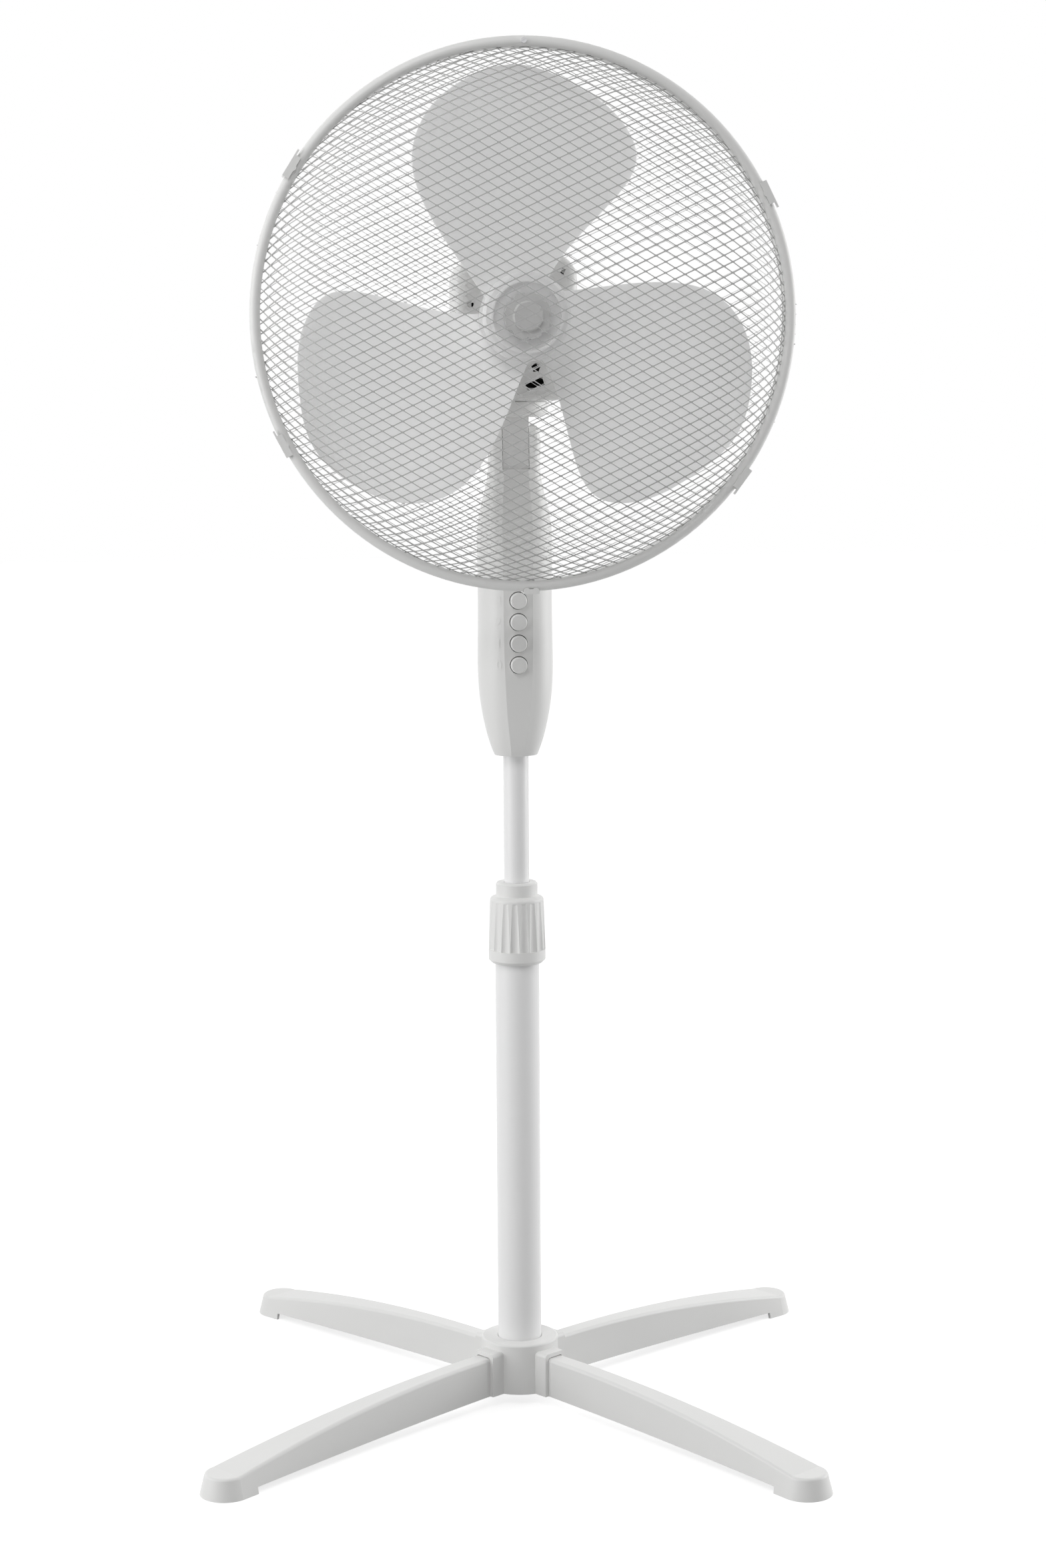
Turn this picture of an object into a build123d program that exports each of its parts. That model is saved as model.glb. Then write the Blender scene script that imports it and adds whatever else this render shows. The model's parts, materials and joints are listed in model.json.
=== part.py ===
from build123d import *
import math
import os

# A 40 cm class pedestal fan, in millimetres. The floor is Z = 0, the pole axis is the Z axis,
# the fan blows towards -Y and +X is on the right of someone facing it.

os.makedirs("parts", exist_ok=True)

# Overall sizes
AXIS_HEIGHT = 890.0
RIM_RADIUS = 210.0
RIM_FORWARD = 90.0
BASE_TURN = -6.5

# Clearances: running fits, pieces that move past each other, pieces fixed together
RUN = 0.08
SLIP = 0.35
SEAT = 0.1

# Screw heads as a share of their shanks, and the space left past a screw's end
SCREW_HEAD = 2.0
SCREW_END = 1.0

# Base hub and legs
HUB_RADIUS = 31.8
HUB_BOTTOM = 10.0
HUB_TOP = 51.7
HUB_FLOOR = 4.0
HUB_EDGE = 1.6
HUB_WALL = 5.9
SOCKET_MOUTH = 42.0
SOCKET_WALL = 3.2
SOCKET_FLOOR = 3.5
SOCKET_ROOM = 0.6
BORE_EDGE = 0.8
LEG_ROOT_HALF = 8.0
LEG_ROOT_TOP = 42.0
LEG_FOOT_REACH = 313.0
LEG_FOOT_HALF = 16.5
LEG_FOOT_TOP = 17.0
LEG_FLARE = 4.2
LEG_HEEL_LENGTH = 16.0
LEG_HEEL_STEP = 5.3
LEG_WALL = 2.4
LEG_EDGE = 2.6
LEG_SHARES = (0.0, 0.2, 0.4, 0.6, 0.8, 1.0)
LEG_SPREAD = 1.7
HOLLOW_START = 0.1
LEG_SCREW_REACH = 33.0
LEG_SCREW_RADIUS = 2.2
LEG_SCREW_LENGTH = 12.0
LEG_ANGLES = {"front_left": 225.0, "front_right": 315.0, "rear_left": 135.0, "rear_right": 45.0}

# Poles, their bushes and the height lock
OUTER_POLE_RADIUS = 18.0
OUTER_POLE_WALL = 1.2
OUTER_POLE_TOP = 405.0
INNER_POLE_RADIUS = 10.3
INNER_POLE_WALL = 1.0
INNER_POLE_LENGTH = 420.0
PLUG_HEIGHT = 22.0
PLUG_EDGE = 1.5
BASE_BOLT_RADIUS = 4.0
BASE_WASHER_RADIUS = 12.0
BASE_WASHER_SHEET = 2.0
BASE_HEAD_RADIUS = 6.8
GUIDE_HEIGHT = 34.0
GUIDE_LEDGE = 3.0
BUSH_WALL = 1.0
BUSH_TOP = 3.0
BUSH_LENGTH = 35.0
NUT_SKIRT = 36.0
NUT_HEIGHT = 66.5
NUT_FLARE = 1.4
NUT_BAND_HEIGHT = 11.0
NUT_FOOT_EDGE = 2.7
NUT_SHOULDER_HEIGHT = 52.0
NUT_RING_WALL = 3.5
NUT_RING_HEIGHT = 11.0
NUT_RING_EDGE = 1.2
NUT_WALL = 1.6
FLUTE_COUNT = 18
FLUTE_RADIUS = 5.4
FLUTE_DEPTH = 0.9
COLLET_WALL = 2.8
COLLET_HEIGHT = 16.0
COLLET_SLIT = 1.4

# Control housing: height above its bottom, half width, half depth, half of the flat front strip
# and the radius that rounds the flanks
HOUSING_STATIONS = [
    (0.0, 17.4, 17.4, 5.2, 15.0),
    (6.0, 19.8, 19.8, 5.8, 17.0),
    (27.0, 25.5, 25.2, 8.3, 22.0),
    (51.0, 29.1, 29.2, 10.2, 26.0),
    (90.0, 29.9, 30.0, 11.6, 27.0),
    (150.0, 29.7, 29.8, 12.0, 27.0),
    (192.0, 28.2, 27.6, 12.0, 21.0),
    (208.0, 24.4, 23.6, 11.0, 14.0),
    (224.0, 20.9, 20.2, 10.0, 10.0),
    (240.0, 20.3, 18.2, 9.6, 8.5),
    (258.0, 20.2, 17.2, 9.4, 7.0),
    (265.0, 17.8, 14.8, 8.0, 6.0),
]
FACET_SLOPE = 25.0
HOUSING_WALL = 2.5
HOUSING_FLOOR = 3.0
CAVITY_TOP = 214.0
POLE_BOSS_RADIUS = 14.0
POLE_BOSS_HEIGHT = 36.0
POLE_DEPTH = 33.0
CASE_SCREW_X = 21.0
CASE_SCREW_HEIGHTS = (56.0, 146.0)
CASE_BOSS_RADIUS = 4.2
CASE_SCREW_RADIUS = 1.6
CLAMP_SCREW_HEIGHT = 18.0
CLAMP_SCREW_RADIUS = 2.5
CLAMP_HEAD_RADIUS = 5.5
CLAMP_HEAD_DEPTH = 4.0
CLAMP_FACE = 22.5
GLAND_HEIGHT = 90.0
GLAND_RADIUS = 5.0
GLAND_COLLAR_RADIUS = 7.0
GLAND_COLLAR = 2.0
GLAND_PROUD = 2.4
GLAND_EDGE = 1.2
CORD_RADIUS = 3.1

# Speed buttons and their switch
BUTTON_RADIUS = 6.6
BUTTON_GAP = 0.65
BUTTON_LIP = 0.9
BUTTON_SPACE = 0.9
BUTTON_LOWEST = 75.2
BUTTON_PROUD = 5.0
BUTTON_EDGE = 1.2
BUTTON_TRAVEL = 4.0
BUTTON_FLANGE = 1.4
BUTTON_LUG_WIDTH = 5.0
BUTTON_LUG_DROP = 3.0
BUTTON_STEM_RADIUS = 2.6
BUTTON_STEM_LENGTH = 10.0
SWITCH_WIDTH = 28.0
SWITCH_DEPTH = 20.0
SWITCH_EDGE = 2.0
SWITCH_BACK = 3.0
POST_SPACE = 0.55

# Tilt joint
TILT_ABOVE_HOUSING = 247.0
NECK_LENGTH = 38.0
NECK_WIDTH = 20.8
NECK_HALF_DEPTH = 17.0
TANG_RADIUS = 24.7
NECK_DISC_RADIUS = 26.0
NECK_DISC_EDGE = 2.2
NECK_FLARE = 13.0
TILT_BOLT_RADIUS = 4.0
TILT_HEAD_RADIUS = 7.0
TILT_HEAD_DEPTH = 4.0
TILT_BOLT_SHORT = 0.5
SWIVEL_EDGE = 1.0

# Motor and gearbox
MOTOR_WIDTH = 94.0
MOTOR_ABOVE_AXIS = 50.0
MOTOR_BELOW_AXIS = 64.0
MOTOR_CORNER = 20.0
MOTOR_FRONT = 50.0
MOTOR_SPLIT = 15.0
MOTOR_BACK = -64.0
MOTOR_WALL = 2.2
MOTOR_FRONT_EDGE = 10.0
MOTOR_BACK_EDGE = 17.0
NOSE_RADIUS = 14.0
NOSE_LENGTH = 12.0
SWIVEL_RADIUS = 8.0
SWIVEL_LENGTH = 40.0
SHAFT_RADIUS = 4.0
SHAFT_FRONT = 121.0
SHAFT_BACK = -30.0
SHAFT_EDGE = 0.8
BEARING_RADIUS = 9.0
BEARING_LENGTH = 8.0
BEARING_WALL = 3.0
STATOR_RADIUS = 36.0
STATOR_BORE = 20.5
STATOR_FRONT = 34.0
STATOR_BACK = 2.0
WINDING_LENGTH = 4.0
WINDING_INSIDE = 22.5
WINDING_OUTSIDE = 27.5
GEARBOX_WIDTH = 33.0
GEARBOX_FRONT = -8.0
GEARBOX_BACK = -40.0
GEARBOX_ABOVE_AXIS = 18.0
GEARBOX_CORNER = 3.0
SOCKET_BLOCK_HEIGHT = 23.0
SOCKET_BLOCK_WALL = 6.0
VENT_SIZE = (14.5, 6.4)
VENT_TURN = 20.0
VENT_PLACE = (12.2, -51.0)
SIDE_SLOT_SIZE = (5.0, 3.0)
SIDE_SLOT_TURN = 66.0
KEY_HOLE_RADIUS = 3.8
KEY_HOLE_PLACE = (13.1, -38.3)
LUG_HOLE_RADIUS = 2.7
LUG_HOLE_PLACE = (-38.0, 11.1)
SIDE_SLOT_PLACE = (34.6, 36.0)
BACK_VENT_COUNT = 6
BACK_VENT_PITCH = 7.0
BACK_VENT_SIZE = (40.0, 3.0)
BACK_VENT_RISE = 14.0
STUD_RING = 29.0
STUD_RADIUS = 3.0
COVER_SCREW_RADIUS = 1.8
COVER_BOSS_RADIUS = 4.5
COVER_SCREW_DROP = 22.0
COVER_SCREW_SINK = 4.0
COVER_SCREW_GRIP = 8.0
KNOB_FORWARD = -24.0
KNOB_RADIUS = 7.5
KNOB_HEIGHT = 14.0
KNOB_STEM_RADIUS = 3.0
KNOB_TRAVEL = 8.0
KNOB_EDGE = 2.5
KNOB_FLUTES = 10
KNOB_FLUTE_RADIUS = 1.6
KNOB_FLUTE_RING = 8.5

# Grille: the dishes are drawn sheets of diamond mesh held in rolled rims
RIM_WIDTH = 8.0
RIM_ROLL = 3.4
FRONT_RIM_DEPTH = 11.0
REAR_RIM_DEPTH = 10.0
REAR_RIM_STEP = 1.0
DISH_SHOULDER = 72.0
DISH_SHEET = 1.6
DISH_FLANGE = 1.6
FRONT_DISH_FORWARD = 140.0
MESH_LONG = 49.8
MESH_SHORT = 26.7
MESH_STRAND = 3.0
MESH_EDGE = 4.0
REAR_PLATE_RADIUS = 36.0
GRILLE_NUT_RADIUS = 30.0
GRILLE_NUT_DEPTH = 8.4
GRILLE_NUT_GRIPS = 12
GRILLE_GRIP_RADIUS = 4.0
GRILLE_GRIP_RING = 32.0
# Each clip's angle round the rim, half length, lip, prong and the places of its thumb bumps
CLIPS = {
    "upper_right": (26.5, 9.0, 4.0, 4.5, (0.0,)),
    "upper_left": (147.5, 9.0, 4.0, 4.5, (0.0,)),
    "lower_left": (207.5, 9.0, 4.0, 4.5, (0.0,)),
    "bottom": (270.9, 6.0, 2.2, 0.0, (-3.5, 3.5)),
    "lower_right": (323.5, 9.0, 4.0, 4.5, (0.0,)),
}
CLIP_SHEET = 1.4
CLIP_GAP = 0.35
CLIP_BUMP = 2.5
CLIP_PRONG_WIDTH = 2.4
CLIP_PIN_RADIUS = 1.1
CLIP_BARREL_RADIUS = 2.3
CLIP_BARREL_HALF = 5.5
CLIP_EAR = 2.2
RIM_SCREW_RADIUS = 1.5
RIM_SCREW_HEAD = 2.2
RIM_SCREW_HEAD_DEPTH = 1.5
RIM_SCREW_SLOT = 0.8
RIM_SCREW_TURN = 30.0
RIM_SCREW_TAIL = 3.0
RIM_NUT_RADIUS = 3.0
RIM_NUT_DEPTH = 2.4

# Fan blade, one moulding with a hub and three paddles
BLADE_COUNT = 3
BLADE_FORWARD = 90.0
BLADE_SHEET = 2.2
BLADE_CAMBER = 7.0
BLADE_TIP_GAP = 12.0
BLADE_CHORD_HALF = 100.0
BLADE_ROOT_PITCH = 25.0
BLADE_MIDDLE_PITCH = 17.0
BLADE_TIP_PITCH = 12.0
BLADE_OUTLINE = [
    (-0.16, 0.075),
    (-0.260, 0.214),
    (-0.389, 0.406),
    (-0.454, 0.615),
    (-0.392, 0.802),
    (-0.214, 0.947),
    (-0.021, 1.0),
    (0.210, 0.930),
    (0.415, 0.786),
    (0.478, 0.642),
    (0.370, 0.460),
    (0.167, 0.246),
    (0.086, 0.107),
]
BLADE_HUB_RADIUS = 34.0
BLADE_HUB_FRONT = 114.0
BLADE_HUB_DEPTH = 34.0
BLADE_HUB_WALL = 2.6
BLADE_HUB_FACE = 4.0
BLADE_HUB_EDGE = 2.5
SPINNER_SINK = 1.0
BLADE_RING_RADIUS = 28.2
BLADE_RING_WALL = 2.2
BLADE_RING_RISE = 2.0
BLADE_BOSS_RADIUS = 9.0
BLADE_BOSS_BACK = 74.0
SPINNER_RADIUS = 17.8
SPINNER_FACE_RADIUS = 12.5
SPINNER_DEPTH = 11.0
SPINNER_LOBES = 8
SPINNER_LOBE_RADIUS = 3.2
SPINNER_LOBE_RING = 19.3
SPINNER_FLANGE = 7.7
SPINNER_TAPER = 6.0
SPINNER_EDGE = 1.4
DRIVE_PIN_RADIUS = 1.5
DRIVE_PIN_HALF = 7.6

# Derived places and fits
MOTOR_TOP = AXIS_HEIGHT + MOTOR_ABOVE_AXIS
MOTOR_BOTTOM = AXIS_HEIGHT - MOTOR_BELOW_AXIS
TILT_HEIGHT = MOTOR_BOTTOM - NECK_LENGTH
HOUSING_BOTTOM = TILT_HEIGHT - TILT_ABOVE_HOUSING
INNER_POLE_BOTTOM = HOUSING_BOTTOM + POLE_DEPTH - INNER_POLE_LENGTH
SOCKET_END = OUTER_POLE_RADIUS + SEAT + HUB_WALL
NUT_BOTTOM = OUTER_POLE_TOP - NUT_SKIRT
NUT_TOP = NUT_BOTTOM + NUT_HEIGHT
BUSH_RADIUS = OUTER_POLE_RADIUS + SEAT + BUSH_WALL
COLLET_BORE = INNER_POLE_RADIUS + RUN
COLLET_RADIUS = COLLET_BORE + COLLET_WALL
NUT_SHOULDER_RADIUS = BUSH_RADIUS + SLIP + NUT_WALL + FLUTE_DEPTH
NUT_BAND_RADIUS = NUT_SHOULDER_RADIUS + NUT_FLARE
NUT_RING_RADIUS = COLLET_RADIUS + SLIP + NUT_RING_WALL
BUTTON_FLANGE_RADIUS = BUTTON_RADIUS + BUTTON_GAP + BUTTON_LIP
BUTTON_PITCH = 2 * BUTTON_FLANGE_RADIUS + BUTTON_SPACE
POST_REACH = BUTTON_FLANGE_RADIUS + POST_SPACE + CASE_BOSS_RADIUS
SLOT_WIDTH = NECK_WIDTH + 2 * SLIP
SLOT_RADIUS = TANG_RADIUS + SLIP
NECK_TOP = MOTOR_BOTTOM - SLIP
MOTOR_HEIGHT = MOTOR_TOP - MOTOR_BOTTOM
GEARBOX_TOP = AXIS_HEIGHT + GEARBOX_ABOVE_AXIS
MOTOR_DROP = (MOTOR_TOP + MOTOR_BOTTOM) / 2 - AXIS_HEIGHT
BUTTON_FACE = HOUSING_STATIONS[4][2]
SWITCH_FACE = BUTTON_FACE - HOUSING_WALL - BUTTON_FLANGE - BUTTON_TRAVEL - 2 * SLIP
BUTTON_HEIGHTS = [HOUSING_BOTTOM + BUTTON_LOWEST + step * BUTTON_PITCH for step in range(4)]
RIM_INSIDE = RIM_RADIUS - RIM_WIDTH
REAR_RIM_RADIUS = RIM_RADIUS - REAR_RIM_STEP
DISH_FLAT = RIM_INSIDE - DISH_SHOULDER
DISH_RADIUS = RIM_INSIDE + DISH_FLANGE
BLADE_RADIUS = RIM_INSIDE - BLADE_TIP_GAP
FRONT_DISH_EDGE = RIM_FORWARD + FRONT_RIM_DEPTH / 2
REAR_DISH_EDGE = RIM_FORWARD - REAR_RIM_DEPTH / 2
REAR_DISH_FORWARD = MOTOR_FRONT

FAN_AXIS = Axis((0, 0, AXIS_HEIGHT), (0, -1, 0))


def head_plane(forward):
    """The plane square to the fan axis, this far ahead of the pole axis."""
    return Plane(origin=(0, -forward, AXIS_HEIGHT), x_dir=(1, 0, 0), z_dir=(0, -1, 0))


def rim_plane(angle):
    """The half plane through the fan axis at this angle: X is forward and Y is radius."""
    turn = math.radians(angle)
    return Plane(
        origin=(0, 0, AXIS_HEIGHT),
        x_dir=(0, -1, 0),
        z_dir=(-math.sin(turn), 0, math.cos(turn)),
    )


def save(piece, node):
    """Label one finished piece and write it."""
    piece.part.label = node
    export_step(piece.part, f"parts/{node}.step")


# Base hub: a cylinder with four leg sockets and a bore for the pole
def leg_plane(angle, reach):
    """The upright plane square to a leg, this far from the pole axis."""
    turn = math.radians(angle + BASE_TURN)
    out = Vector(math.cos(turn), math.sin(turn), 0)
    return Plane(origin=out * reach, x_dir=(-out.Y, out.X, 0), z_dir=out)


def leg_spot(angle, reach, height):
    """A point on a leg's centre line."""
    turn = math.radians(angle + BASE_TURN)
    return (reach * math.cos(turn), reach * math.sin(turn), height)


socket_half = LEG_ROOT_HALF + SEAT
socket_top = LEG_ROOT_TOP + SOCKET_ROOM
with BuildPart() as base_hub:
    with BuildSketch(Plane.XY.offset(HUB_BOTTOM)):
        Circle(HUB_RADIUS)
    extrude(amount=HUB_TOP - HUB_BOTTOM)
    fillet(base_hub.edges().group_by(Axis.Z)[-1], HUB_EDGE)
    for angle in LEG_ANGLES.values():
        with BuildSketch(leg_plane(angle, SOCKET_END)) as sleeve:
            with Locations((0, HUB_BOTTOM)):
                Rectangle(
                    2 * (socket_half + SOCKET_WALL),
                    socket_top + SOCKET_WALL - HUB_BOTTOM,
                    align=(Align.CENTER, Align.MIN),
                )
            fillet(sleeve.vertices().group_by(Axis.Y)[-1], SOCKET_WALL)
        extrude(amount=SOCKET_MOUTH - SOCKET_END)
    for angle in LEG_ANGLES.values():
        with BuildSketch(leg_plane(angle, SOCKET_END)) as socket:
            with Locations((0, HUB_BOTTOM + SOCKET_FLOOR)):
                Rectangle(
                    2 * socket_half,
                    socket_top - HUB_BOTTOM - SOCKET_FLOOR,
                    align=(Align.CENTER, Align.MIN),
                )
            fillet(socket.vertices().group_by(Axis.Y)[-1], LEG_EDGE)
        extrude(amount=SOCKET_MOUTH - SOCKET_END, mode=Mode.SUBTRACT)
        with BuildSketch(Plane(leg_spot(angle, LEG_SCREW_REACH, HUB_BOTTOM))):
            Circle(LEG_SCREW_RADIUS + SEAT)
        extrude(amount=SOCKET_FLOOR, mode=Mode.SUBTRACT)
    with BuildSketch(Plane.XY.offset(HUB_BOTTOM + HUB_FLOOR)):
        Circle(OUTER_POLE_RADIUS + SEAT)
    extrude(amount=HUB_TOP, mode=Mode.SUBTRACT)
    bore_rim = base_hub.edges().filter_by(GeomType.CIRCLE).group_by(Axis.Z)[-1]
    chamfer(bore_rim.sort_by(SortBy.RADIUS)[0], BORE_EDGE)
    with BuildSketch(Plane.XY.offset(HUB_BOTTOM)):
        Circle(BASE_BOLT_RADIUS + SEAT)
    extrude(amount=HUB_FLOOR, mode=Mode.SUBTRACT)
save(base_hub, "base_hub")


# Legs: arched hollow mouldings that widen to a round foot, with a tongue in the hub
def leg_section(angle, share, wall):
    """A leg's upright section at this share of the way from its socket to its foot."""
    reach = SOCKET_MOUTH + share * (LEG_FOOT_REACH - SOCKET_MOUTH)
    top = LEG_ROOT_TOP - (LEG_ROOT_TOP - LEG_FOOT_TOP) * share**2 - wall
    half = LEG_ROOT_HALF + (LEG_FOOT_HALF - LEG_ROOT_HALF) * share**LEG_SPREAD - wall
    flare = LEG_FLARE * share**2
    with BuildSketch(leg_plane(angle, reach)) as section:
        with BuildLine():
            Polyline((-half - flare, 0), (half + flare, 0), (half, top), (-half, top), close=True)
        make_face()
        fillet(section.vertices().group_by(Axis.Y)[-1], LEG_EDGE)
    return section.sketch


def leg_foot(angle, wall):
    """Half of the round foot's section, to be turned about the foot's upright centre line."""
    top = LEG_FOOT_TOP - wall
    half = LEG_FOOT_HALF - wall
    with BuildSketch(leg_plane(angle, LEG_FOOT_REACH)) as section:
        with BuildLine():
            Polyline((0, 0), (half + LEG_FLARE, 0), (half, top), (0, top), close=True)
        make_face()
        fillet(section.vertices().sort_by_distance((half, top))[0], LEG_EDGE)
    return section.sketch


tongue_bottom = HUB_BOTTOM + SOCKET_FLOOR + SEAT
tongue_length = SOCKET_MOUTH - SOCKET_END - SEAT
for place, angle in LEG_ANGLES.items():
    foot_axis = Axis(leg_spot(angle, LEG_FOOT_REACH, 0), (0, 0, -1))
    leg_side = leg_plane(angle, 0)
    side_plane = Plane(origin=(0, 0, 0), x_dir=leg_side.z_dir, z_dir=-leg_side.x_dir)
    with BuildPart() as leg:
        loft([leg_section(angle, share, 0) for share in LEG_SHARES])
        revolve(leg_foot(angle, 0), axis=foot_axis, revolution_arc=180)
        with BuildSketch(side_plane):
            with BuildLine():
                Polyline(
                    (0, -HUB_BOTTOM),
                    (0, HUB_BOTTOM),
                    (SOCKET_MOUTH, HUB_BOTTOM),
                    (LEG_FOOT_REACH - LEG_HEEL_LENGTH, LEG_HEEL_STEP),
                    (LEG_FOOT_REACH - LEG_HEEL_LENGTH, -HUB_BOTTOM),
                    close=True,
                )
            make_face()
        extrude(amount=LEG_FOOT_HALF * 2, both=True, mode=Mode.SUBTRACT)
        hollow_shares = [HOLLOW_START + share * (1 - HOLLOW_START) for share in LEG_SHARES]
        loft([leg_section(angle, share, LEG_WALL) for share in hollow_shares], mode=Mode.SUBTRACT)
        revolve(leg_foot(angle, LEG_WALL), axis=foot_axis, revolution_arc=180, mode=Mode.SUBTRACT)
        with BuildSketch(leg_plane(angle, SOCKET_MOUTH)) as tongue:
            with Locations((0, tongue_bottom)):
                Rectangle(
                    2 * LEG_ROOT_HALF,
                    LEG_ROOT_TOP - tongue_bottom,
                    align=(Align.CENTER, Align.MIN),
                )
            fillet(tongue.vertices().group_by(Axis.Y)[-1], LEG_EDGE)
        extrude(amount=-tongue_length)
        with BuildSketch(Plane(leg_spot(angle, LEG_SCREW_REACH, HUB_BOTTOM))):
            Circle(LEG_SCREW_RADIUS + SEAT)
        extrude(amount=LEG_SCREW_LENGTH + SCREW_END, mode=Mode.SUBTRACT)
    save(leg, f"leg_{place}")

with BuildPart() as leg_screws:
    for angle in LEG_ANGLES.values():
        with BuildSketch(Plane(leg_spot(angle, LEG_SCREW_REACH, HUB_BOTTOM))):
            Circle(LEG_SCREW_RADIUS)
        extrude(amount=LEG_SCREW_LENGTH)
        with BuildSketch(Plane(leg_spot(angle, LEG_SCREW_REACH, HUB_BOTTOM))):
            Circle(SCREW_HEAD * LEG_SCREW_RADIUS)
        extrude(amount=-LEG_SCREW_RADIUS)
save(leg_screws, "leg_screws")

# Outer pole with the plug and bolt that hold it in the hub
pole_bottom = HUB_BOTTOM + HUB_FLOOR
outer_pole_bore = OUTER_POLE_RADIUS - OUTER_POLE_WALL
with BuildPart() as outer_pole:
    with BuildSketch(Plane.XY.offset(pole_bottom)):
        Circle(OUTER_POLE_RADIUS)
        Circle(outer_pole_bore, mode=Mode.SUBTRACT)
    extrude(amount=OUTER_POLE_TOP - pole_bottom)
save(outer_pole, "outer_pole")

with BuildPart() as pole_plug:
    with BuildSketch(Plane.XY.offset(pole_bottom)):
        Circle(outer_pole_bore - SEAT)
        Circle(BASE_BOLT_RADIUS + SEAT, mode=Mode.SUBTRACT)
    extrude(amount=PLUG_HEIGHT)
    chamfer(pole_plug.edges().group_by(Axis.Z)[-1].sort_by(Axis.X)[-1], PLUG_EDGE)
save(pole_plug, "pole_plug")

with BuildPart() as base_bolt:
    with BuildSketch(Plane.XY.offset(HUB_BOTTOM)):
        Circle(BASE_BOLT_RADIUS)
    extrude(amount=HUB_FLOOR + PLUG_HEIGHT - 2 * SCREW_END)
    with BuildSketch(Plane.XY.offset(HUB_BOTTOM)):
        Circle(BASE_WASHER_RADIUS)
    extrude(amount=-BASE_WASHER_SHEET)
    with BuildSketch(Plane.XY.offset(HUB_BOTTOM - BASE_WASHER_SHEET)):
        RegularPolygon(BASE_HEAD_RADIUS, 6)
    extrude(amount=-BASE_BOLT_RADIUS)
save(base_bolt, "base_bolt")

# Height lock: a collared bush with split collet fingers on the pole, and a fluted nut over it
bush_bottom = OUTER_POLE_TOP - BUSH_LENGTH
bush_top = OUTER_POLE_TOP + BUSH_TOP
collet_top = OUTER_POLE_TOP + COLLET_HEIGHT
with BuildPart() as collar_bush:
    with BuildSketch(Plane.XZ) as bush_profile:
        with BuildLine():
            Polyline(
                (OUTER_POLE_RADIUS + SEAT, bush_bottom),
                (BUSH_RADIUS, bush_bottom),
                (BUSH_RADIUS, bush_top),
                (COLLET_RADIUS, bush_top),
                (COLLET_RADIUS, collet_top),
                (COLLET_BORE, collet_top),
                (COLLET_BORE, OUTER_POLE_TOP),
                (OUTER_POLE_RADIUS + SEAT, OUTER_POLE_TOP),
                close=True,
            )
        make_face()
    revolve(axis=Axis.Z)
    with BuildSketch(Plane.XY.offset(bush_top)):
        for turn in (0, 90):
            Rectangle(4 * COLLET_RADIUS, COLLET_SLIT, rotation=turn)
    extrude(amount=COLLET_HEIGHT, mode=Mode.SUBTRACT)
save(collar_bush, "collar_bush")

nut_shoulder = NUT_BOTTOM + NUT_SHOULDER_HEIGHT
nut_ring_bottom = NUT_TOP - NUT_RING_HEIGHT
with BuildPart() as height_lock_nut:
    with BuildSketch(Plane.XZ) as nut_profile:
        with BuildLine():
            Polyline(
                (BUSH_RADIUS + SLIP, NUT_BOTTOM),
                (NUT_BAND_RADIUS - NUT_FOOT_EDGE, NUT_BOTTOM),
                (NUT_BAND_RADIUS, NUT_BOTTOM + NUT_FOOT_EDGE),
                (NUT_BAND_RADIUS, NUT_BOTTOM + NUT_BAND_HEIGHT),
                (NUT_SHOULDER_RADIUS, nut_shoulder),
            )
            shoulder = Spline(
                (NUT_SHOULDER_RADIUS, nut_shoulder),
                (NUT_RING_RADIUS, nut_ring_bottom),
                tangents=((-0.05, 1), (-1, 0.55)),
            )
            Polyline(
                (NUT_RING_RADIUS, nut_ring_bottom),
                (NUT_RING_RADIUS, NUT_TOP - NUT_RING_EDGE),
                (NUT_RING_RADIUS - NUT_RING_EDGE, NUT_TOP),
                (INNER_POLE_RADIUS + SLIP, NUT_TOP),
                (INNER_POLE_RADIUS + SLIP, collet_top + SLIP),
                (COLLET_RADIUS + SLIP, collet_top + SLIP),
                (COLLET_RADIUS + SLIP, bush_top + SLIP),
                (BUSH_RADIUS + SLIP, bush_top + SLIP),
                (BUSH_RADIUS + SLIP, NUT_BOTTOM),
            )
        make_face()
    revolve(axis=Axis.Z)
    with BuildSketch(Plane.XY.offset(NUT_BOTTOM + NUT_BAND_HEIGHT)):
        with PolarLocations(NUT_SHOULDER_RADIUS + FLUTE_RADIUS - FLUTE_DEPTH / 2, FLUTE_COUNT):
            Circle(FLUTE_RADIUS)
    extrude(amount=NUT_SHOULDER_HEIGHT - NUT_BAND_HEIGHT - FLUTE_DEPTH, mode=Mode.SUBTRACT)
save(height_lock_nut, "height_lock_nut")

# Inner pole and the guide bush that centres its lower end in the outer pole
with BuildPart() as inner_pole:
    with BuildSketch(Plane.XY.offset(INNER_POLE_BOTTOM)):
        Circle(INNER_POLE_RADIUS)
        Circle(INNER_POLE_RADIUS - INNER_POLE_WALL, mode=Mode.SUBTRACT)
    extrude(amount=HOUSING_BOTTOM + POLE_DEPTH - INNER_POLE_BOTTOM)
save(inner_pole, "inner_pole")

guide_bottom = INNER_POLE_BOTTOM - SLIP - GUIDE_LEDGE
with BuildPart() as guide_bush:
    with BuildSketch(Plane.XY.offset(guide_bottom)):
        Circle(outer_pole_bore - SLIP)
        Circle(INNER_POLE_RADIUS - INNER_POLE_WALL, mode=Mode.SUBTRACT)
    extrude(amount=GUIDE_LEDGE)
    with BuildSketch(Plane.XY.offset(guide_bottom + GUIDE_LEDGE)):
        Circle(outer_pole_bore - SLIP)
        Circle(INNER_POLE_RADIUS + RUN, mode=Mode.SUBTRACT)
    extrude(amount=GUIDE_HEIGHT - GUIDE_LEDGE)
save(guide_bush, "guide_bush")


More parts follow.
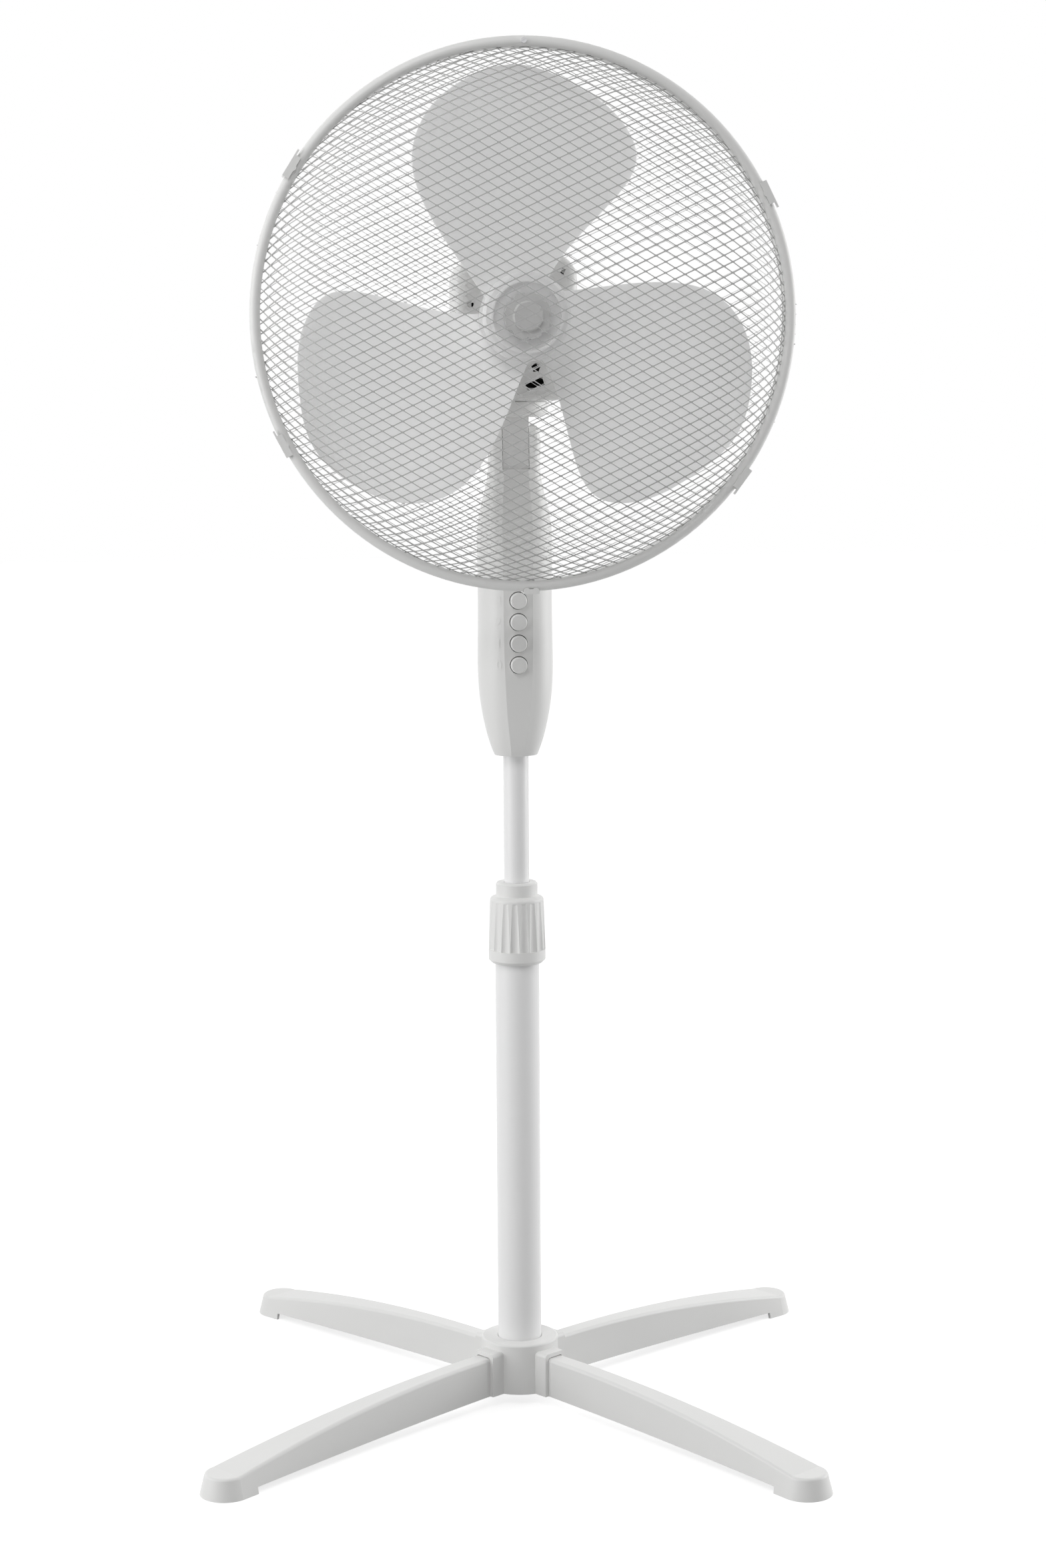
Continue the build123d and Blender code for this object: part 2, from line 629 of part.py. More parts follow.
# Control housing: a tapered moulding that ends in the tilt fork, split into front and rear shells
def housing_section(station, inset):
    """One level section: a flat strip front and back, sloping facets and rounded flanks."""
    height, half_width, half_depth, strip, corner = station
    width = half_width - inset
    depth = half_depth - inset
    edge = strip - inset * math.tan(math.radians(FACET_SLOPE / 2))
    flank = depth - (width - edge) * math.tan(math.radians(FACET_SLOPE))
    with BuildSketch(Plane.XY.offset(HOUSING_BOTTOM + height)) as section:
        with BuildLine():
            Polyline(
                (edge, -depth),
                (width, -flank),
                (width, flank),
                (edge, depth),
                (-edge, depth),
                (-width, flank),
                (-width, -flank),
                (-edge, -depth),
                close=True,
            )
        make_face()
        sides = section.vertices().group_by(Axis.X)
        fillet(sides[0] + sides[-1], corner - inset)
    return section.sketch


def case_screw_places():
    """Where the screws that join the two shells stand, on the upright plane between them."""
    return [
        (side * CASE_SCREW_X, HOUSING_BOTTOM + height)
        for side in (-1, 1)
        for height in CASE_SCREW_HEIGHTS
    ]


post_heights = (BUTTON_HEIGHTS[0] - POST_REACH, BUTTON_HEIGHTS[-1] + POST_REACH)
switch_bottom = post_heights[0] - CASE_BOSS_RADIUS / 2
switch_top = post_heights[1] + CASE_BOSS_RADIUS / 2
wall_inside = BUTTON_FACE - HOUSING_WALL
with BuildPart() as housing_cavity:
    loft([housing_section(station, HOUSING_WALL) for station in HOUSING_STATIONS])
    with BuildSketch(Plane.XY.offset(HOUSING_BOTTOM + HOUSING_FLOOR)):
        Rectangle(4 * BUTTON_FACE, 4 * BUTTON_FACE)
    extrude(amount=CAVITY_TOP - HOUSING_FLOOR, mode=Mode.INTERSECT)
    with BuildSketch(Plane.XY.offset(HOUSING_BOTTOM)):
        Circle(POLE_BOSS_RADIUS)
    extrude(amount=POLE_BOSS_HEIGHT, mode=Mode.SUBTRACT)
    with BuildSketch(Plane.XZ):
        with Locations(*case_screw_places()):
            Circle(CASE_BOSS_RADIUS)
    extrude(amount=2 * BUTTON_FACE, both=True, mode=Mode.SUBTRACT)
    with BuildSketch(Plane.XZ.offset(SWITCH_FACE)):
        with Locations(*[(0, height) for height in post_heights]):
            Circle(CASE_BOSS_RADIUS)
    extrude(amount=BUTTON_FACE, mode=Mode.SUBTRACT)

with BuildPart() as housing_body:
    loft([housing_section(station, 0) for station in HOUSING_STATIONS])
    add(housing_cavity.part, mode=Mode.SUBTRACT)
    with BuildSketch(Plane.YZ):
        with Locations((0, TILT_HEIGHT)):
            Circle(SLOT_RADIUS)
    extrude(amount=SLOT_WIDTH / 2, both=True, mode=Mode.SUBTRACT)
    with BuildSketch(Plane.XY.offset(HOUSING_BOTTOM)):
        Circle(INNER_POLE_RADIUS + SEAT)
    extrude(amount=POLE_DEPTH, mode=Mode.SUBTRACT)
    with BuildSketch(Plane.YZ):
        with Locations((0, TILT_HEIGHT)):
            Circle(TILT_BOLT_RADIUS + SEAT)
    extrude(amount=2 * BUTTON_FACE, both=True, mode=Mode.SUBTRACT)
    for side in (-1, 1):
        with BuildSketch(Plane.YZ.offset(side * (HOUSING_STATIONS[-2][1] - TILT_HEAD_DEPTH - SEAT))):
            with Locations((0, TILT_HEIGHT)):
                Circle(TILT_HEAD_RADIUS + SEAT)
        extrude(amount=side * 2 * TILT_HEAD_DEPTH, mode=Mode.SUBTRACT)

with BuildPart() as control_housing_front:
    add(housing_body.part)
    split(bisect_by=Plane.XZ, keep=Keep.TOP)
    with BuildSketch(Plane.XZ.offset(SWITCH_FACE + BUTTON_TRAVEL)):
        with Locations(*[(0, height) for height in BUTTON_HEIGHTS]):
            Circle(BUTTON_RADIUS + BUTTON_GAP)
    extrude(amount=2 * BUTTON_FACE, mode=Mode.SUBTRACT)
    with BuildSketch(Plane.XZ):
        with Locations(*case_screw_places()):
            Circle(CASE_SCREW_RADIUS + SEAT)
    extrude(amount=wall_inside / 2, mode=Mode.SUBTRACT)
save(control_housing_front, "control_housing_front")

with BuildPart() as control_housing_rear:
    add(housing_body.part)
    split(bisect_by=Plane.XZ, keep=Keep.BOTTOM)
    with BuildSketch(Plane.XZ):
        with Locations(*case_screw_places()):
            Circle(CASE_SCREW_RADIUS + SEAT)
    extrude(amount=-2 * BUTTON_FACE, mode=Mode.SUBTRACT)
    with BuildSketch(Plane.XZ.offset(-wall_inside / 2)):
        with Locations(*case_screw_places()):
            Circle(SCREW_HEAD * CASE_SCREW_RADIUS + SEAT)
    extrude(amount=-2 * BUTTON_FACE, mode=Mode.SUBTRACT)
    with BuildSketch(Plane.XZ):
        with Locations((0, HOUSING_BOTTOM + CLAMP_SCREW_HEIGHT)):
            Circle(CLAMP_SCREW_RADIUS + SEAT)
    extrude(amount=-2 * BUTTON_FACE, mode=Mode.SUBTRACT)
    with BuildSketch(Plane.XZ.offset(-CLAMP_FACE)):
        with Locations((0, HOUSING_BOTTOM + CLAMP_SCREW_HEIGHT)):
            Circle(CLAMP_HEAD_RADIUS + SLIP)
    extrude(amount=-2 * BUTTON_FACE, mode=Mode.SUBTRACT)
    with BuildSketch(Plane.XZ):
        with Locations((0, HOUSING_BOTTOM + GLAND_HEIGHT)):
            Circle(GLAND_RADIUS + SEAT)
    extrude(amount=-2 * BUTTON_FACE, mode=Mode.SUBTRACT)
save(control_housing_rear, "control_housing_rear")

with BuildPart() as housing_screws:
    with BuildSketch(Plane.XZ.offset(wall_inside / 2 - SCREW_END)):
        with Locations(*case_screw_places()):
            Circle(CASE_SCREW_RADIUS)
    extrude(amount=-wall_inside + SCREW_END)
    with BuildSketch(Plane.XZ.offset(-wall_inside / 2)):
        with Locations(*case_screw_places()):
            Circle(SCREW_HEAD * CASE_SCREW_RADIUS)
    extrude(amount=-SCREW_HEAD * CASE_SCREW_RADIUS)
save(housing_screws, "housing_screws")

with BuildPart() as pole_clamp_screw:
    with BuildSketch(Plane.XZ.offset(-INNER_POLE_RADIUS - SEAT)):
        with Locations((0, HOUSING_BOTTOM + CLAMP_SCREW_HEIGHT)):
            Circle(CLAMP_SCREW_RADIUS)
    extrude(amount=-(CLAMP_FACE - INNER_POLE_RADIUS))
    with BuildSketch(Plane.XZ.offset(-CLAMP_FACE - SEAT)):
        with Locations((0, HOUSING_BOTTOM + CLAMP_SCREW_HEIGHT)):
            Circle(CLAMP_HEAD_RADIUS)
    extrude(amount=-CLAMP_HEAD_DEPTH)
save(pole_clamp_screw, "pole_clamp_screw")

with BuildPart() as cord_gland:
    with BuildSketch(Plane.XZ.offset(-wall_inside + SEAT)):
        with Locations((0, HOUSING_BOTTOM + GLAND_HEIGHT)):
            Circle(GLAND_COLLAR_RADIUS)
    extrude(amount=GLAND_COLLAR)
    with BuildSketch(Plane.XZ.offset(-wall_inside + SEAT)):
        with Locations((0, HOUSING_BOTTOM + GLAND_HEIGHT)):
            Circle(GLAND_RADIUS)
    extrude(amount=-HOUSING_WALL - GLAND_PROUD)
    fillet(cord_gland.edges().group_by(Axis.Y)[-1], GLAND_EDGE)
    with BuildSketch(Plane.XZ):
        with Locations((0, HOUSING_BOTTOM + GLAND_HEIGHT)):
            Circle(CORD_RADIUS)
    extrude(amount=-2 * BUTTON_FACE, mode=Mode.SUBTRACT)
save(cord_gland, "cord_gland")

# Switch block behind the buttons, screwed to the two posts of the front shell
with BuildPart() as switch_block:
    with BuildSketch(Plane.XZ.offset(SWITCH_FACE - SEAT)):
        with Locations((0, switch_bottom)):
            Rectangle(SWITCH_WIDTH, switch_top - switch_bottom, align=(Align.CENTER, Align.MIN))
    extrude(amount=-SWITCH_DEPTH)
    chamfer(switch_block.edges().filter_by(Axis.Y), SWITCH_EDGE)
    with BuildSketch(Plane.XZ.offset(SWITCH_FACE - SEAT)):
        with Locations(*[(0, height) for height in BUTTON_HEIGHTS]):
            Circle(BUTTON_STEM_RADIUS + SLIP)
    extrude(amount=-SWITCH_DEPTH + SWITCH_BACK, mode=Mode.SUBTRACT)
save(switch_block, "switch_block")

flange_face = wall_inside - SLIP
for number, height in enumerate(BUTTON_HEIGHTS):
    with BuildPart() as button:
        with BuildSketch(Plane.XZ.offset(flange_face - BUTTON_FLANGE)):
            with Locations((0, height)):
                Circle(BUTTON_FLANGE_RADIUS)
            with Locations((0, height - BUTTON_LUG_DROP)):
                Rectangle(2 * BUTTON_FLANGE_RADIUS, BUTTON_LUG_WIDTH, mode=Mode.INTERSECT)
            with Locations((0, height)):
                Circle(BUTTON_RADIUS)
        extrude(amount=BUTTON_FLANGE)
        with BuildSketch(Plane.XZ.offset(flange_face)):
            with Locations((0, height)):
                Circle(BUTTON_RADIUS)
        extrude(amount=BUTTON_FACE + BUTTON_PROUD - flange_face)
        fillet(button.edges().group_by(Axis.Y)[0], BUTTON_EDGE)
        with BuildSketch(Plane.XZ.offset(flange_face - BUTTON_FLANGE)):
            with Locations((0, height)):
                Circle(BUTTON_STEM_RADIUS)
        extrude(amount=-BUTTON_STEM_LENGTH)
    save(button, f"button_{number}")

# Tilt joint: the neck swings between the fork cheeks on a bolt
with BuildPart() as tilt_neck:
    with BuildSketch(Plane.YZ):
        with Locations((0, TILT_HEIGHT)):
            Circle(TANG_RADIUS)
            Rectangle(2 * NECK_HALF_DEPTH, 2 * TANG_RADIUS, mode=Mode.INTERSECT)
            Rectangle(2 * NECK_HALF_DEPTH, NECK_TOP - TILT_HEIGHT, align=(Align.CENTER, Align.MIN))
    extrude(amount=NECK_WIDTH / 2, both=True)
    with BuildSketch(Plane.XZ):
        with BuildLine():
            Polyline(
                (NECK_WIDTH / 2, NECK_TOP - NECK_FLARE),
                (0, NECK_TOP - NECK_FLARE),
                (0, NECK_TOP),
                (NECK_DISC_RADIUS, NECK_TOP),
                (NECK_DISC_RADIUS, NECK_TOP - NECK_DISC_EDGE),
            )
            TangentArc(
                (NECK_DISC_RADIUS, NECK_TOP - NECK_DISC_EDGE),
                (NECK_WIDTH / 2, NECK_TOP - NECK_FLARE),
                tangent=(-1, -0.1),
            )
        make_face()
    revolve(axis=Axis.Z)
    with BuildSketch(Plane.YZ):
        with Locations((0, TILT_HEIGHT)):
            Circle(TILT_BOLT_RADIUS + RUN)
    extrude(amount=NECK_WIDTH, both=True, mode=Mode.SUBTRACT)
    with BuildSketch(Plane.XY.offset(NECK_TOP - NECK_FLARE)):
        Circle(SWIVEL_RADIUS + SEAT)
    extrude(amount=2 * NECK_FLARE, mode=Mode.SUBTRACT)
save(tilt_neck, "tilt_neck")

cheek_seat = HOUSING_STATIONS[-2][1] - TILT_HEAD_DEPTH - SEAT
with BuildPart() as tilt_bolt:
    with BuildSketch(Plane.YZ.offset(-cheek_seat)):
        with Locations((0, TILT_HEIGHT)):
            Circle(TILT_BOLT_RADIUS)
    extrude(amount=2 * cheek_seat + TILT_HEAD_DEPTH - TILT_BOLT_SHORT)
    with BuildSketch(Plane.YZ.offset(-cheek_seat)):
        with Locations((0, TILT_HEIGHT)):
            Circle(TILT_HEAD_RADIUS)
    extrude(amount=-TILT_HEAD_DEPTH)
save(tilt_bolt, "tilt_bolt")

with BuildPart() as tilt_nut:
    with BuildSketch(Plane.YZ.offset(cheek_seat)):
        with Locations((0, TILT_HEIGHT)):
            RegularPolygon(TILT_HEAD_RADIUS - SEAT, 6)
            Circle(TILT_BOLT_RADIUS + SEAT, mode=Mode.SUBTRACT)
    extrude(amount=TILT_HEAD_DEPTH)
save(tilt_nut, "tilt_nut")

with BuildPart() as swivel_pin:
    with BuildSketch(Plane.XY.offset(NECK_TOP - NECK_FLARE)):
        Circle(SWIVEL_RADIUS)
    extrude(amount=SWIVEL_LENGTH)
    chamfer(swivel_pin.edges().group_by(Axis.Z)[-1], SWIVEL_EDGE)
save(swivel_pin, "swivel_pin")


# Motor: front cover with its nose, rear cover, stator, bearings and gearbox
def motor_outline(inset):
    """The motor covers' rounded outline on the current head plane, drawn in by this wall."""
    with Locations((0, MOTOR_DROP)):
        RectangleRounded(MOTOR_WIDTH - 2 * inset, MOTOR_HEIGHT - 2 * inset, MOTOR_CORNER - inset)


with BuildPart() as motor_front_cover:
    with BuildSketch(head_plane(MOTOR_SPLIT)):
        motor_outline(0)
    extrude(amount=MOTOR_FRONT - MOTOR_SPLIT)
    fillet(motor_front_cover.faces().sort_by(Axis.Y)[0].edges(), MOTOR_FRONT_EDGE)
    with BuildSketch(head_plane(MOTOR_SPLIT)):
        motor_outline(MOTOR_WALL)
    extrude(amount=MOTOR_FRONT - MOTOR_SPLIT - MOTOR_FRONT_EDGE, mode=Mode.SUBTRACT)
    with BuildSketch(head_plane(MOTOR_FRONT - MOTOR_FRONT_EDGE)):
        motor_outline(MOTOR_FRONT_EDGE)
    extrude(amount=MOTOR_FRONT_EDGE - MOTOR_WALL, mode=Mode.SUBTRACT)
    with BuildSketch(head_plane(MOTOR_FRONT - BEARING_LENGTH - MOTOR_WALL)):
        Circle(BEARING_RADIUS + BEARING_WALL)
    extrude(amount=BEARING_LENGTH + MOTOR_WALL)
    with BuildSketch(head_plane(MOTOR_FRONT)):
        Circle(NOSE_RADIUS)
    extrude(amount=NOSE_LENGTH)
    with BuildSketch(head_plane(STATOR_FRONT + SEAT)):
        with PolarLocations(STUD_RING, 4, start_angle=45):
            Circle(STUD_RADIUS)
    extrude(amount=MOTOR_FRONT - STATOR_FRONT - MOTOR_WALL / 2)
    with BuildSketch(head_plane(0)):
        Circle(SHAFT_RADIUS + SLIP)
    extrude(amount=2 * MOTOR_FRONT, mode=Mode.SUBTRACT)
    with BuildSketch(head_plane(0)):
        Circle(BEARING_RADIUS + SEAT)
    extrude(amount=MOTOR_FRONT - MOTOR_WALL, mode=Mode.SUBTRACT)
    with BuildSketch(head_plane(MOTOR_FRONT - MOTOR_WALL)):
        with Locations(VENT_PLACE):
            Rectangle(*VENT_SIZE, rotation=VENT_TURN)
        with Locations(KEY_HOLE_PLACE):
            RegularPolygon(KEY_HOLE_RADIUS, 5, rotation=90)
        with Locations(LUG_HOLE_PLACE):
            Circle(LUG_HOLE_RADIUS)
        with Locations(SIDE_SLOT_PLACE):
            Rectangle(*SIDE_SLOT_SIZE, rotation=SIDE_SLOT_TURN)
    extrude(amount=MOTOR_WALL, mode=Mode.SUBTRACT)
save(motor_front_cover, "motor_front_cover")

motor_floor = MOTOR_BOTTOM + MOTOR_WALL
back_depth = MOTOR_SPLIT - MOTOR_BACK
with BuildPart() as motor_rear_cover:
    with BuildSketch(head_plane(MOTOR_SPLIT)):
        motor_outline(0)
    extrude(amount=-back_depth)
    fillet(motor_rear_cover.faces().sort_by(Axis.Y)[-1].edges(), MOTOR_BACK_EDGE)
    with BuildSketch(head_plane(MOTOR_SPLIT)):
        motor_outline(MOTOR_WALL)
    extrude(amount=-(back_depth - MOTOR_BACK_EDGE), mode=Mode.SUBTRACT)
    with BuildSketch(head_plane(MOTOR_BACK + MOTOR_BACK_EDGE)):
        motor_outline(MOTOR_BACK_EDGE)
    extrude(amount=MOTOR_WALL - MOTOR_BACK_EDGE, mode=Mode.SUBTRACT)
    with BuildSketch(head_plane(GEARBOX_BACK - SEAT)):
        with Locations((0, -COVER_SCREW_DROP)):
            Circle(COVER_BOSS_RADIUS)
    extrude(amount=MOTOR_BACK + MOTOR_WALL / 2 - GEARBOX_BACK)
    with BuildSketch(head_plane(GEARBOX_BACK)):
        with Locations((0, -COVER_SCREW_DROP)):
            Circle(COVER_SCREW_RADIUS + SEAT)
    extrude(amount=MOTOR_BACK - GEARBOX_BACK, mode=Mode.SUBTRACT)
    with BuildSketch(head_plane(MOTOR_BACK + COVER_SCREW_SINK)):
        with Locations((0, -COVER_SCREW_DROP)):
            Circle(SCREW_HEAD * COVER_SCREW_RADIUS + SEAT)
    extrude(amount=-2 * COVER_SCREW_SINK, mode=Mode.SUBTRACT)
    with BuildSketch(head_plane(MOTOR_BACK + MOTOR_WALL)):
        with Locations((0, BACK_VENT_RISE)):
            with GridLocations(BACK_VENT_PITCH, BACK_VENT_PITCH, 1, BACK_VENT_COUNT):
                SlotOverall(*BACK_VENT_SIZE)
    extrude(amount=-2 * MOTOR_WALL, mode=Mode.SUBTRACT)
    with BuildSketch(Plane.XY.offset(MOTOR_BOTTOM)):
        Circle(SWIVEL_RADIUS + SLIP)
    extrude(amount=MOTOR_WALL, mode=Mode.SUBTRACT)
    with BuildSketch(Plane((0, -KNOB_FORWARD, MOTOR_TOP - MOTOR_WALL))):
        Circle(KNOB_STEM_RADIUS + SLIP)
    extrude(amount=2 * MOTOR_WALL, mode=Mode.SUBTRACT)
save(motor_rear_cover, "motor_rear_cover")

with BuildPart() as motor_stator:
    with BuildSketch(head_plane(STATOR_BACK)):
        Circle(STATOR_RADIUS)
        Circle(STATOR_BORE, mode=Mode.SUBTRACT)
    extrude(amount=STATOR_FRONT - STATOR_BACK)
    with BuildSketch(head_plane(STATOR_BACK - WINDING_LENGTH)):
        Circle(WINDING_OUTSIDE)
        Circle(WINDING_INSIDE, mode=Mode.SUBTRACT)
    extrude(amount=WINDING_LENGTH)
save(motor_stator, "motor_stator")

with BuildPart() as front_bearing:
    with BuildSketch(head_plane(MOTOR_FRONT - MOTOR_WALL - SEAT)):
        Circle(BEARING_RADIUS)
        Circle(SHAFT_RADIUS + RUN, mode=Mode.SUBTRACT)
    extrude(amount=-BEARING_LENGTH)
save(front_bearing, "front_bearing")

with BuildPart() as gearbox:
    with BuildSketch(Plane((0, 0, motor_floor + SEAT))):
        with Locations((0, -SWIVEL_RADIUS - SOCKET_BLOCK_WALL)):
            Rectangle(
                GEARBOX_WIDTH,
                SWIVEL_RADIUS + SOCKET_BLOCK_WALL - (GEARBOX_FRONT + GEARBOX_BACK) / 2,
                align=(Align.CENTER, Align.MIN),
            )
    extrude(amount=SOCKET_BLOCK_HEIGHT)
    with BuildSketch(Plane((0, 0, motor_floor + SEAT))):
        with Locations((0, -(GEARBOX_FRONT + GEARBOX_BACK) / 2)):
            Rectangle(GEARBOX_WIDTH, GEARBOX_FRONT - GEARBOX_BACK)
    extrude(amount=GEARBOX_TOP - motor_floor - SEAT)
    fillet(gearbox.edges().filter_by(Axis.Z), GEARBOX_CORNER)
    with BuildSketch(Plane((0, 0, motor_floor))):
        Circle(SWIVEL_RADIUS + RUN)
    extrude(amount=NECK_TOP - NECK_FLARE + SWIVEL_LENGTH + SLIP - motor_floor, mode=Mode.SUBTRACT)
    with BuildSketch(head_plane(GEARBOX_FRONT)):
        Circle(BEARING_RADIUS + SEAT)
    extrude(amount=-BEARING_LENGTH - SEAT, mode=Mode.SUBTRACT)
    with BuildSketch(head_plane(GEARBOX_FRONT)):
        Circle(SHAFT_RADIUS + SLIP)
    extrude(amount=SHAFT_BACK - GEARBOX_FRONT - SLIP, mode=Mode.SUBTRACT)
    with BuildSketch(Plane((0, -KNOB_FORWARD, GEARBOX_TOP - KNOB_TRAVEL))):
        Circle(KNOB_STEM_RADIUS + SLIP)
    extrude(amount=2 * KNOB_TRAVEL, mode=Mode.SUBTRACT)
    with BuildSketch(head_plane(GEARBOX_BACK)):
        with Locations((0, -COVER_SCREW_DROP)):
            Circle(COVER_SCREW_RADIUS + SEAT)
    extrude(amount=COVER_SCREW_GRIP + SCREW_END, mode=Mode.SUBTRACT)
save(gearbox, "gearbox")

with BuildPart() as cover_screw:
    with BuildSketch(head_plane(GEARBOX_BACK + COVER_SCREW_GRIP)):
        with Locations((0, -COVER_SCREW_DROP)):
            Circle(COVER_SCREW_RADIUS)
    extrude(amount=MOTOR_BACK + COVER_SCREW_SINK - GEARBOX_BACK - COVER_SCREW_GRIP)
    with BuildSketch(head_plane(MOTOR_BACK + COVER_SCREW_SINK)):
        with Locations((0, -COVER_SCREW_DROP)):
            Circle(SCREW_HEAD * COVER_SCREW_RADIUS)
    extrude(amount=-COVER_SCREW_RADIUS)
save(cover_screw, "cover_screw")

with BuildPart() as rear_bearing:
    with BuildSketch(head_plane(GEARBOX_FRONT)):
        Circle(BEARING_RADIUS)
        Circle(SHAFT_RADIUS + RUN, mode=Mode.SUBTRACT)
    extrude(amount=-BEARING_LENGTH)
save(rear_bearing, "rear_bearing")

with BuildPart() as oscillation_knob:
    with BuildSketch(Plane((0, -KNOB_FORWARD, MOTOR_TOP + SLIP))):
        Circle(KNOB_RADIUS)
    extrude(amount=KNOB_HEIGHT)
    fillet(oscillation_knob.edges().group_by(Axis.Z)[-1], KNOB_EDGE)
    with BuildSketch(Plane((0, -KNOB_FORWARD, MOTOR_TOP + SLIP))):
        Circle(KNOB_STEM_RADIUS)
    extrude(amount=-(MOTOR_TOP - GEARBOX_TOP) - KNOB_TRAVEL / 2)
    with BuildSketch(Plane((0, -KNOB_FORWARD, MOTOR_TOP + KNOB_HEIGHT / 2))):
        with PolarLocations(KNOB_FLUTE_RING, KNOB_FLUTES):
            Circle(KNOB_FLUTE_RADIUS)
    extrude(amount=KNOB_HEIGHT / 2 - KNOB_EDGE, mode=Mode.SUBTRACT)
save(oscillation_knob, "oscillation_knob")

# Rotor: shaft, rotor core, drive pin, blade and spinner nut, which turn together
pin_forward = BLADE_BOSS_BACK + DRIVE_PIN_RADIUS
with BuildPart() as motor_shaft:
    with BuildSketch(head_plane(SHAFT_BACK)):
        Circle(SHAFT_RADIUS)
    extrude(amount=SHAFT_FRONT - SHAFT_BACK)
    chamfer(motor_shaft.edges().group_by(Axis.Y)[0], SHAFT_EDGE)
    with BuildSketch(Plane.YZ):
        with Locations((-pin_forward, AXIS_HEIGHT)):
            Circle(DRIVE_PIN_RADIUS + SEAT)
    extrude(amount=2 * SHAFT_RADIUS, both=True, mode=Mode.SUBTRACT)
save(motor_shaft, "motor_shaft")

with BuildPart() as drive_pin:
    with BuildSketch(Plane.YZ):
        with Locations((-pin_forward, AXIS_HEIGHT)):
            Circle(DRIVE_PIN_RADIUS)
    extrude(amount=DRIVE_PIN_HALF, both=True)
save(drive_pin, "drive_pin")

with BuildPart() as motor_rotor:
    with BuildSketch(head_plane(STATOR_BACK)):
        Circle(STATOR_BORE - SLIP)
        Circle(SHAFT_RADIUS + SEAT, mode=Mode.SUBTRACT)
    extrude(amount=STATOR_FRONT - STATOR_BACK)
save(motor_rotor, "motor_rotor")


def blade_section(height, pitch):
    """A cambered strip across the blade, square to its length, with the leading edge behind."""
    reach = BLADE_CHORD_HALF
    rise = reach * math.tan(math.radians(pitch))
    section_plane = Plane(
        origin=(0, -BLADE_FORWARD, AXIS_HEIGHT + height),
        x_dir=(1, 0, 0),
        z_dir=(0, 0, 1),
    )
    with BuildSketch(section_plane) as section:
        with BuildLine():
            ThreePointArc((-reach, -rise), (0, BLADE_CAMBER), (reach, rise))
            Line((reach, rise), (reach, rise + BLADE_SHEET))
            ThreePointArc(
                (reach, rise + BLADE_SHEET),
                (0, BLADE_CAMBER + BLADE_SHEET),
                (-reach, -rise + BLADE_SHEET),
            )
            Line((-reach, -rise + BLADE_SHEET), (-reach, -rise))
        make_face()
    return section.sketch


with BuildPart() as paddle:
    loft([
        blade_section(0, BLADE_ROOT_PITCH),
        blade_section(BLADE_RADIUS / 2, BLADE_MIDDLE_PITCH),
        blade_section(BLADE_RADIUS + BLADE_TIP_GAP, BLADE_TIP_PITCH),
    ])
    with BuildSketch(head_plane(BLADE_FORWARD - BLADE_CHORD_HALF)):
        with BuildLine():
            edge = Spline(*[(BLADE_RADIUS * x, BLADE_RADIUS * y) for x, y in BLADE_OUTLINE])
            Line(edge @ 1, edge @ 0)
        make_face()
    extrude(amount=2 * BLADE_CHORD_HALF, mode=Mode.INTERSECT)

hub_back = BLADE_HUB_FRONT - BLADE_HUB_DEPTH
spinner_seat = BLADE_HUB_FRONT - SPINNER_SINK
with BuildPart() as fan_blade:
    for number in range(BLADE_COUNT):
        add(paddle.part.rotate(FAN_AXIS, number * 360 / BLADE_COUNT))
    with BuildSketch(head_plane(hub_back)):
        Circle(BLADE_HUB_RADIUS - BLADE_HUB_WALL)
    extrude(amount=BLADE_HUB_DEPTH, mode=Mode.SUBTRACT)
    with BuildSketch(head_plane(0)):
        Circle(BLADE_HUB_RADIUS - BLADE_HUB_WALL)
    extrude(amount=BLADE_HUB_FRONT, mode=Mode.SUBTRACT)
    with BuildSketch(rim_plane(90)):
        with BuildLine():
            Polyline(
                (spinner_seat, SHAFT_RADIUS + SEAT),
                (spinner_seat, BLADE_RING_RADIUS - BLADE_RING_WALL),
                (BLADE_HUB_FRONT + BLADE_RING_RISE, BLADE_RING_RADIUS - BLADE_RING_WALL),
                (BLADE_HUB_FRONT + BLADE_RING_RISE, BLADE_RING_RADIUS),
                (BLADE_HUB_FRONT, BLADE_RING_RADIUS),
                (BLADE_HUB_FRONT, BLADE_HUB_RADIUS - BLADE_HUB_EDGE),
                (BLADE_HUB_FRONT - BLADE_HUB_EDGE, BLADE_HUB_RADIUS),
                (hub_back, BLADE_HUB_RADIUS),
                (hub_back, BLADE_HUB_RADIUS - BLADE_HUB_WALL),
                (BLADE_HUB_FRONT - BLADE_HUB_FACE, BLADE_HUB_RADIUS - BLADE_HUB_WALL),
                (BLADE_HUB_FRONT - BLADE_HUB_FACE, BLADE_BOSS_RADIUS),
                (BLADE_BOSS_BACK, BLADE_BOSS_RADIUS),
                (BLADE_BOSS_BACK, SHAFT_RADIUS + SEAT),
                close=True,
            )
        make_face()
    revolve(axis=FAN_AXIS)
    with BuildSketch(head_plane(BLADE_BOSS_BACK)):
        Rectangle(4 * BLADE_BOSS_RADIUS, 2 * (DRIVE_PIN_RADIUS + SEAT))
    extrude(amount=2 * DRIVE_PIN_RADIUS + SEAT, mode=Mode.SUBTRACT)
save(fan_blade, "fan_blade")

